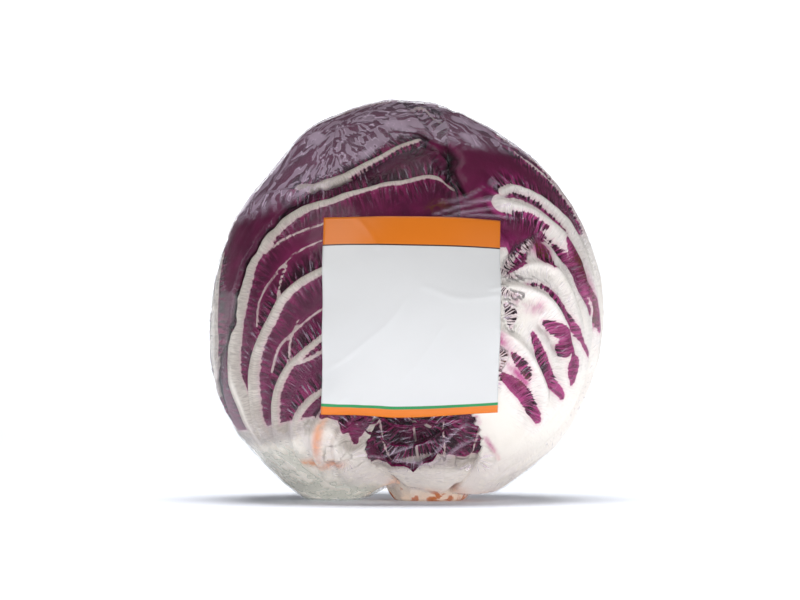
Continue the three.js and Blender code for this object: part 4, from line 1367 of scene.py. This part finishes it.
def film_finish(settings):
    """Clear where the film touches what is under it, and hazy with bright wrinkles where it has lifted."""
    finish = Finish("film")
    spot = finish.spot()
    along = finish.field("along")
    across = finish.field("across")
    pucker = finish.field("pucker")
    crumple = finish.field("crumple")
    net = finish.field("net")
    fold = finish.field("fold")
    shade = finish.field("shade")
    ticks = finish.noise(finish.vector(along * 1.7, across * 0.13, 9.0), 1.0, 1.0)
    drift = finish.noise(spot, 0.12, 1.0)
    broken = finish.noise(spot, 0.16, 2.0)
    slit_place = finish.vector(along * 0.52 + drift * 3.0, across * 0.24 + drift * 3.4, 2.0)
    slits = finish.noise(slit_place, 1.0, 1.0)
    blobs = finish.noise(spot, 0.3, 1.0)
    smooth_patch = finish.smooth(0.6, 0.7, finish.noise(spot, 0.09, 1.0))
    on_rib = finish.smooth(-0.6, 0.5, finish.field("pale"))
    contact = (finish.smooth(0.43, 0.58, slits) * (1 - smooth_patch)).largest(on_rib)
    slit_line = (1 - finish.smooth(0.003, 0.014, abs(slits - 0.46))) * finish.smooth(0.4, 0.48, broken)
    net_line = 1 - finish.smooth(0.005, 0.05, abs(blobs - 0.49))
    net_cell = finish.smooth(0.44, 0.62, blobs)
    tick_line = finish.smooth(0.62, 0.66, ticks) * pucker
    height = (
        (ticks - 0.5) * pucker * 0.22
        + (slit_line * 0.08 - contact * 0.12) * crumple
        + (net_line * 0.03 - net_cell * 0.12) * net
    )
    normal = finish.bump(height)
    lift = finish.field("lift")
    bridged = finish.smooth(0.6, 2.4, lift) * (1 - finish.smooth(3.2, 4.6, lift)) * (1 - pucker).largest(0)
    # Over the crack the film's haze is taken away, so that the painted shade under it shows.
    haze = (
        0.004
        + bridged * 0.035
        + (0.11 + (1 - contact) * (0.2 + 0.26 * drift) + smooth_patch * 0.16 + slit_line * 0.6) * crumple
        + ((1 - net_cell) * 0.36 + net_line * 0.1) * net
        + tick_line * 0.26
        + fold * 0.4
    ).smallest(0.85) * (1 - shade)
    gloss = finish.node(
        "ShaderNodeBsdfPrincipled", None,
        {"Base Color": (1, 1, 1, 1), "Metallic": 1.0, "Roughness": 0.12, "Normal": normal},
    )
    veil = finish.node(
        "ShaderNodeBsdfPrincipled", None,
        {"Base Color": finish.mix(net, settings.haze, settings.net), "Roughness": 0.4},
    )
    fresnel = finish.node("ShaderNodeFresnel", None, {"IOR": 1.45, "Normal": normal})
    clear = finish.node("ShaderNodeBsdfTransparent")
    # Over the crack most of the film's reflection is taken away too, for the same painted shade.
    shine = (fresnel * 0.45).smallest(0.13) * (1 - shade * 0.8)
    skin = finish.node("ShaderNodeMixShader", None, {0: shine, 1: clear, 2: gloss})
    return finish.show(finish.node("ShaderNodeMixShader", None, {0: haze, 1: skin, 2: veil}))


def label_finish(settings):
    finish = Finish("label")
    spot = finish.spot()
    level = finish.field("level")
    header = finish.smooth(0.8595, 0.8605, level)
    rule = finish.smooth(0.8525, 0.8535, level) - header
    footer = 1 - finish.smooth(0.0395, 0.0405, level)
    line = 1 - finish.smooth(0.0545, 0.0555, level) - footer
    cloud = finish.noise(spot, 0.05, 2.0)
    paper = finish.mix(cloud, settings.paper, [0.95 * c for c in settings.paper])
    colour = finish.mix(header + footer, paper, settings.band)
    colour = finish.mix(line, colour, settings.band_green)
    colour = finish.mix(rule, colour, settings.band_rule)
    grain = finish.noise(spot, 1.2, 2.0)
    return finish.show(finish.node(
        "ShaderNodeBsdfPrincipled", None,
        {"Base Color": colour, "Roughness": 0.32, "Normal": finish.bump(grain * 0.02)},
    ))


def floor_finish(settings):
    """A pale floor, which far from the head gives off white light."""
    finish = Finish("floor")
    spot = finish.spot()
    speckle = finish.noise(spot, 0.02)
    away = finish.node("ShaderNodeVectorMath", {"operation": "LENGTH"}, {0: spot}, output=1)
    near = [settings.near_glow * c for c in settings.glow]
    glow = finish.mix(finish.smooth(550, 1900, away), near, (1.0, 1.0, 1.0))
    colour = finish.mix(speckle, settings.floor, [0.97 * c for c in settings.floor])
    return finish.show(finish.node(
        "ShaderNodeBsdfPrincipled", None,
        {"Base Color": colour, "Roughness": 0.7, "Emission Color": glow, "Emission Strength": 1.0},
    ))


# ---------------------------------------------------------------------------------------------------------
# Settings and operators
# ---------------------------------------------------------------------------------------------------------

class HeadSettings(bpy.types.PropertyGroup):
    """Colours and sizes of the head that a user may change."""

    def tint(name, description, code):
        return FloatVectorProperty(name=name, description=description, subtype="COLOR", size=3, min=0, max=1,
                                   default=linear(code))

    def size(name, description, length):
        return FloatProperty(name=name, description=description, default=length * MM, min=0, precision=5,
                             unit="LENGTH")

    film_gap: size("Film gap", "How far the film is over what it lies on", 0.45)
    label_thickness: size("Label thickness", "Thickness of the label", 0.4)
    label_crease: size("Label creases", "Height of the soft creases in the label", 0.14)
    frill_thickness: size("Frill thickness", "Thickness of the frilled margins of the inner leaves", 0.5)
    blade: tint("Blade", "Colour of a leaf's blade", 0x681842)
    blade_dark: tint("Dark blade", "Colour of a blade where it is thickest", 0x541236)
    # Painted shade: the near-black colour painted into a blade's wrinkles.
    blade_shadow: tint("Blade folds", "Colour of the wrinkles in a blade", 0x220614)
    blade_bright: tint("Bright blade", "Colour of a blade beside its ribs", 0x962A60)
    right_blade: tint("Right blade", "Colour of the bright leaf's blade", 0x8A1C5C)
    right_bright: tint("Right blush", "Colour at the edges of the bright leaf's patches", 0xBC4C8A)
    right_rib: tint("Right rib", "Colour of the bright leaf's ribs", 0xF3ECE5)
    # Painted shade: the near-black colour laid deep in the crack in place of its shadow.
    crack: tint("Crack", "Colour deep in the crack between two leaves", 0x0A0406)
    dry: tint("Dry margin", "Colour of the wilted spots on a blade", 0x5E3422)
    peach: tint("Peach", "Colour of the warm flushes low on the leaves", 0xE8A982)
    rib: tint("Rib", "Colour of the ribs", 0xBDB3A8)
    petiole: tint("Petiole", "Colour of the leaf bases", 0xF1EAE0)
    # Painted shade: the grey of the fine creases across the ribs.
    rib_shadow: tint("Rib lines", "Colour of the fine lines across the ribs", 0x9A8E86)
    blush: tint("Blush", "Colour at the edge of the ribs", 0xDFA6B8)
    stem: tint("Stem", "Colour of the cut stem", 0xF8E2CC)
    stem_dark: tint("Stem scars", "Colour of the browned parts of the stem", 0xC9753C)
    paper: tint("Label", "Colour of the label", 0xDAD9D7)
    band: tint("Label band", "Colour of the label's bands", 0xE0781C)
    band_green: tint("Label line", "Colour of the label's thin line", 0x1F8A4C)
    band_rule: tint("Label rule", "Colour of the fine rule under the label's upper band", 0x4A2A1A)
    haze: tint("Film haze", "Colour of the film where it turns white", 0xE4CCE2)
    net: tint("Film net", "Colour of the film where it shrinks to a net of cells", 0xB6BAB0)
    glow: tint("Floor glow", "Colour of the light that comes up through the floor", 0xDDE8F8)
    floor: tint("Floor", "Colour of the studio floor", 0xEBEFF7)
    near_glow: FloatProperty(name="Near glow", description="How much of that light comes up under the head",
                             default=0.06, min=0, max=1, subtype="FACTOR")


PIECES = ("camera", "leaves", "heart", "stem", "film", "label", "studio")


class PieceOperator:
    """What the operators that add a piece have in common."""

    bl_options = {"REGISTER", "UNDO"}

    def execute(self, context):
        self.build(context.scene.radicchio)
        return {"FINISHED"}


class RADICCHIO_OT_camera(PieceOperator, bpy.types.Operator):
    """Add the camera, nearly level with the head and far from it"""

    bl_idname = "radicchio.camera"
    bl_label = "Camera"

    TARGET = Vector((-10.2, 0, 68)) * MM
    DISTANCE = 4.0
    ELEVATION = 1.3
    VIEW_WIDTH = 0.272  # width of the view at the head

    def build(self, settings):
        lens = bpy.data.cameras.new("camera")
        lens.sensor_width = 36
        lens.lens = lens.sensor_width * self.DISTANCE / self.VIEW_WIDTH
        lens.clip_end = 100
        camera = bpy.data.objects.new("camera", lens)
        rise = math.radians(self.ELEVATION)
        camera.location = self.TARGET + Vector((0, -math.cos(rise), math.sin(rise))) * self.DISTANCE
        camera.rotation_euler = (math.pi / 2 - rise, 0, 0)
        bpy.context.scene.collection.objects.link(camera)
        bpy.context.scene.camera = camera


class RADICCHIO_OT_leaves(PieceOperator, bpy.types.Operator):
    """Add the nine leaves, and the frilled margins in the hollow between them"""

    bl_idname = "radicchio.leaves"
    bl_label = "Leaves"

    def build(self, settings):
        finish = leaf_finish(settings)
        bright = leaf_finish(settings, "bright_leaf")
        for index, leaf in enumerate(head_leaves()):
            build_leaf(index, bright if leaf.name == "wrapper_leaf_right" else finish)
        for number, frill in enumerate(FRILLS):
            build_frill(f"inner_leaf_frill_{number + 1}", *frill, settings.frill_thickness / MM, finish)


class RADICCHIO_OT_heart(PieceOperator, bpy.types.Operator):
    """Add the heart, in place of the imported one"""

    bl_idname = "radicchio.heart"
    bl_label = "Heart"

    def build(self, settings):
        build_heart(leaf_finish(settings))


class RADICCHIO_OT_stem(PieceOperator, bpy.types.Operator):
    """Add the cut stem"""

    bl_idname = "radicchio.stem"
    bl_label = "Stem"

    def build(self, settings):
        build_stem(stem_finish(settings))


class RADICCHIO_OT_film(PieceOperator, bpy.types.Operator):
    """Add the shrink film"""

    bl_idname = "radicchio.film"
    bl_label = "Film"

    def build(self, settings):
        build_film(settings.film_gap / MM, film_finish(settings))


class RADICCHIO_OT_label(PieceOperator, bpy.types.Operator):
    """Add the label on the film"""

    bl_idname = "radicchio.label"
    bl_label = "Label"

    def build(self, settings):
        build_label(settings.film_gap / MM, settings.label_thickness / MM, settings.label_crease / MM,
                    label_finish(settings))


class RADICCHIO_OT_studio(PieceOperator, bpy.types.Operator):
    """Add the pale floor and the soft studio light"""

    bl_idname = "radicchio.studio"
    bl_label = "Studio"

    # Each lamp's name, location, size, power, target, what it lights, and if it shines through the floor.
    LAMPS = [
        ("key", (-1.0, -0.85, 1.05), 0.9, 6.0, (0, 0, 0.06), "head", False),
        ("fill", (1.2, -0.9, 0.6), 1.0, 1.9, (0, 0, 0.06), "head", False),
        ("low", (0.1, -1.7, 0.15), 0.8, 2.0, (0, 0, 0.06), "head", False),
        ("top", (0.1, 0.0, 1.5), 1.1, 4.9, (0, 0, 0.06), "head", False),
        ("glow", (0.12, -0.28, -0.2), 0.35, 1.3, (0.02, 0, 0), "head", True),
        ("floor", (0, 0, 2.4), 1.7, 84, (0, 0, 0.06), "floor", False),
    ]
    REACH = 5200.0  # of the level floor, from the head
    BEND = 400.0
    RIM = 700.0
    SIDES = 96
    BEND_STEPS = 12

    def build(self, settings):
        floor = self.cove(floor_finish(settings))
        scene = bpy.context.scene
        head = [piece for piece in scene.objects if piece.type == "MESH" and piece != floor]
        lit = {"head": self.collected("head_only", head), "floor": self.collected("floor_only", [floor])}
        for name, location, size, power, target, pieces, through in self.LAMPS:
            self.lamp(name, location, size, power, target, lit[pieces], through)
        scene.view_settings.view_transform = "Standard"
        world = bpy.data.worlds.new("studio")
        world.use_nodes = True
        background = world.node_tree.nodes["Background"]
        background.inputs["Color"].default_value = (0.97, 0.98, 1, 1)
        background.inputs["Strength"].default_value = 0.08
        scene.world = world

    def cove(self, finish):
        """A round floor that curves up at its rim."""
        sides = self.SIDES
        profile = [(250.0, 0.0), (1000.0, 0.0), (2500.0, 0.0), (self.REACH, 0.0)]
        profile += [(self.REACH + self.BEND * math.sin(t), self.BEND * (1 - math.cos(t)))
                    for t in np.linspace(0, math.pi / 2, self.BEND_STEPS + 1)[1:]]
        profile.append((self.REACH + self.BEND, self.RIM))
        turn = np.arange(sides) * 2 * math.pi / sides
        points = [(0.0, 0.0, 0.0)]
        points += [(out * math.cos(t), out * math.sin(t), rise) for out, rise in profile for t in turn]
        faces = [[0, 1 + i, 1 + (i + 1) % sides] for i in range(sides)]
        for ring in range(len(profile) - 1):
            low, high = 1 + ring * sides, 1 + (ring + 1) * sides
            faces += [[low + i, high + i, high + j, low + j]
                      for i, j in ((i, (i + 1) % sides) for i in range(sides))]
        return new_piece("cove", points, faces, finish)

    def collected(self, name, pieces):
        collection = bpy.data.collections.new(name)
        for piece in pieces:
            collection.objects.link(piece)
        return collection

    def lamp(self, name, location, size, power, target, lit, through):
        """Add a lamp that lights some pieces only; if it shines through, only they cast its shadows."""
        light = bpy.data.lights.new(name, "AREA")
        light.size = size
        light.energy = power
        lamp = bpy.data.objects.new(name, light)
        lamp.location = location
        lamp.rotation_euler = (Vector(target) - lamp.location).to_track_quat("-Z", "Y").to_euler()
        lamp.light_linking.receiver_collection = lit
        if through:
            lamp.light_linking.blocker_collection = lit
        bpy.context.scene.collection.objects.link(lamp)


class RADICCHIO_PT_pieces(bpy.types.Panel):
    """The pieces of the head"""

    bl_idname = "RADICCHIO_PT_pieces"
    bl_label = "Radicchio Head"
    bl_space_type = "VIEW_3D"
    bl_region_type = "UI"
    bl_category = "Radicchio"

    def draw(self, context):
        for piece in PIECES:
            self.layout.operator(f"radicchio.{piece}")


CLASSES = (
    HeadSettings,
    RADICCHIO_OT_camera,
    RADICCHIO_OT_leaves,
    RADICCHIO_OT_heart,
    RADICCHIO_OT_stem,
    RADICCHIO_OT_film,
    RADICCHIO_OT_label,
    RADICCHIO_OT_studio,
    RADICCHIO_PT_pieces,
)


def register():
    for cls in CLASSES:
        bpy.utils.register_class(cls)
    bpy.types.Scene.radicchio = PointerProperty(type=HeadSettings)


def unregister():
    del bpy.types.Scene.radicchio
    for cls in reversed(CLASSES):
        bpy.utils.unregister_class(cls)


def main():
    register()
    for piece in PIECES:
        getattr(bpy.ops.radicchio, piece)()


if __name__ == "__main__":
    main()
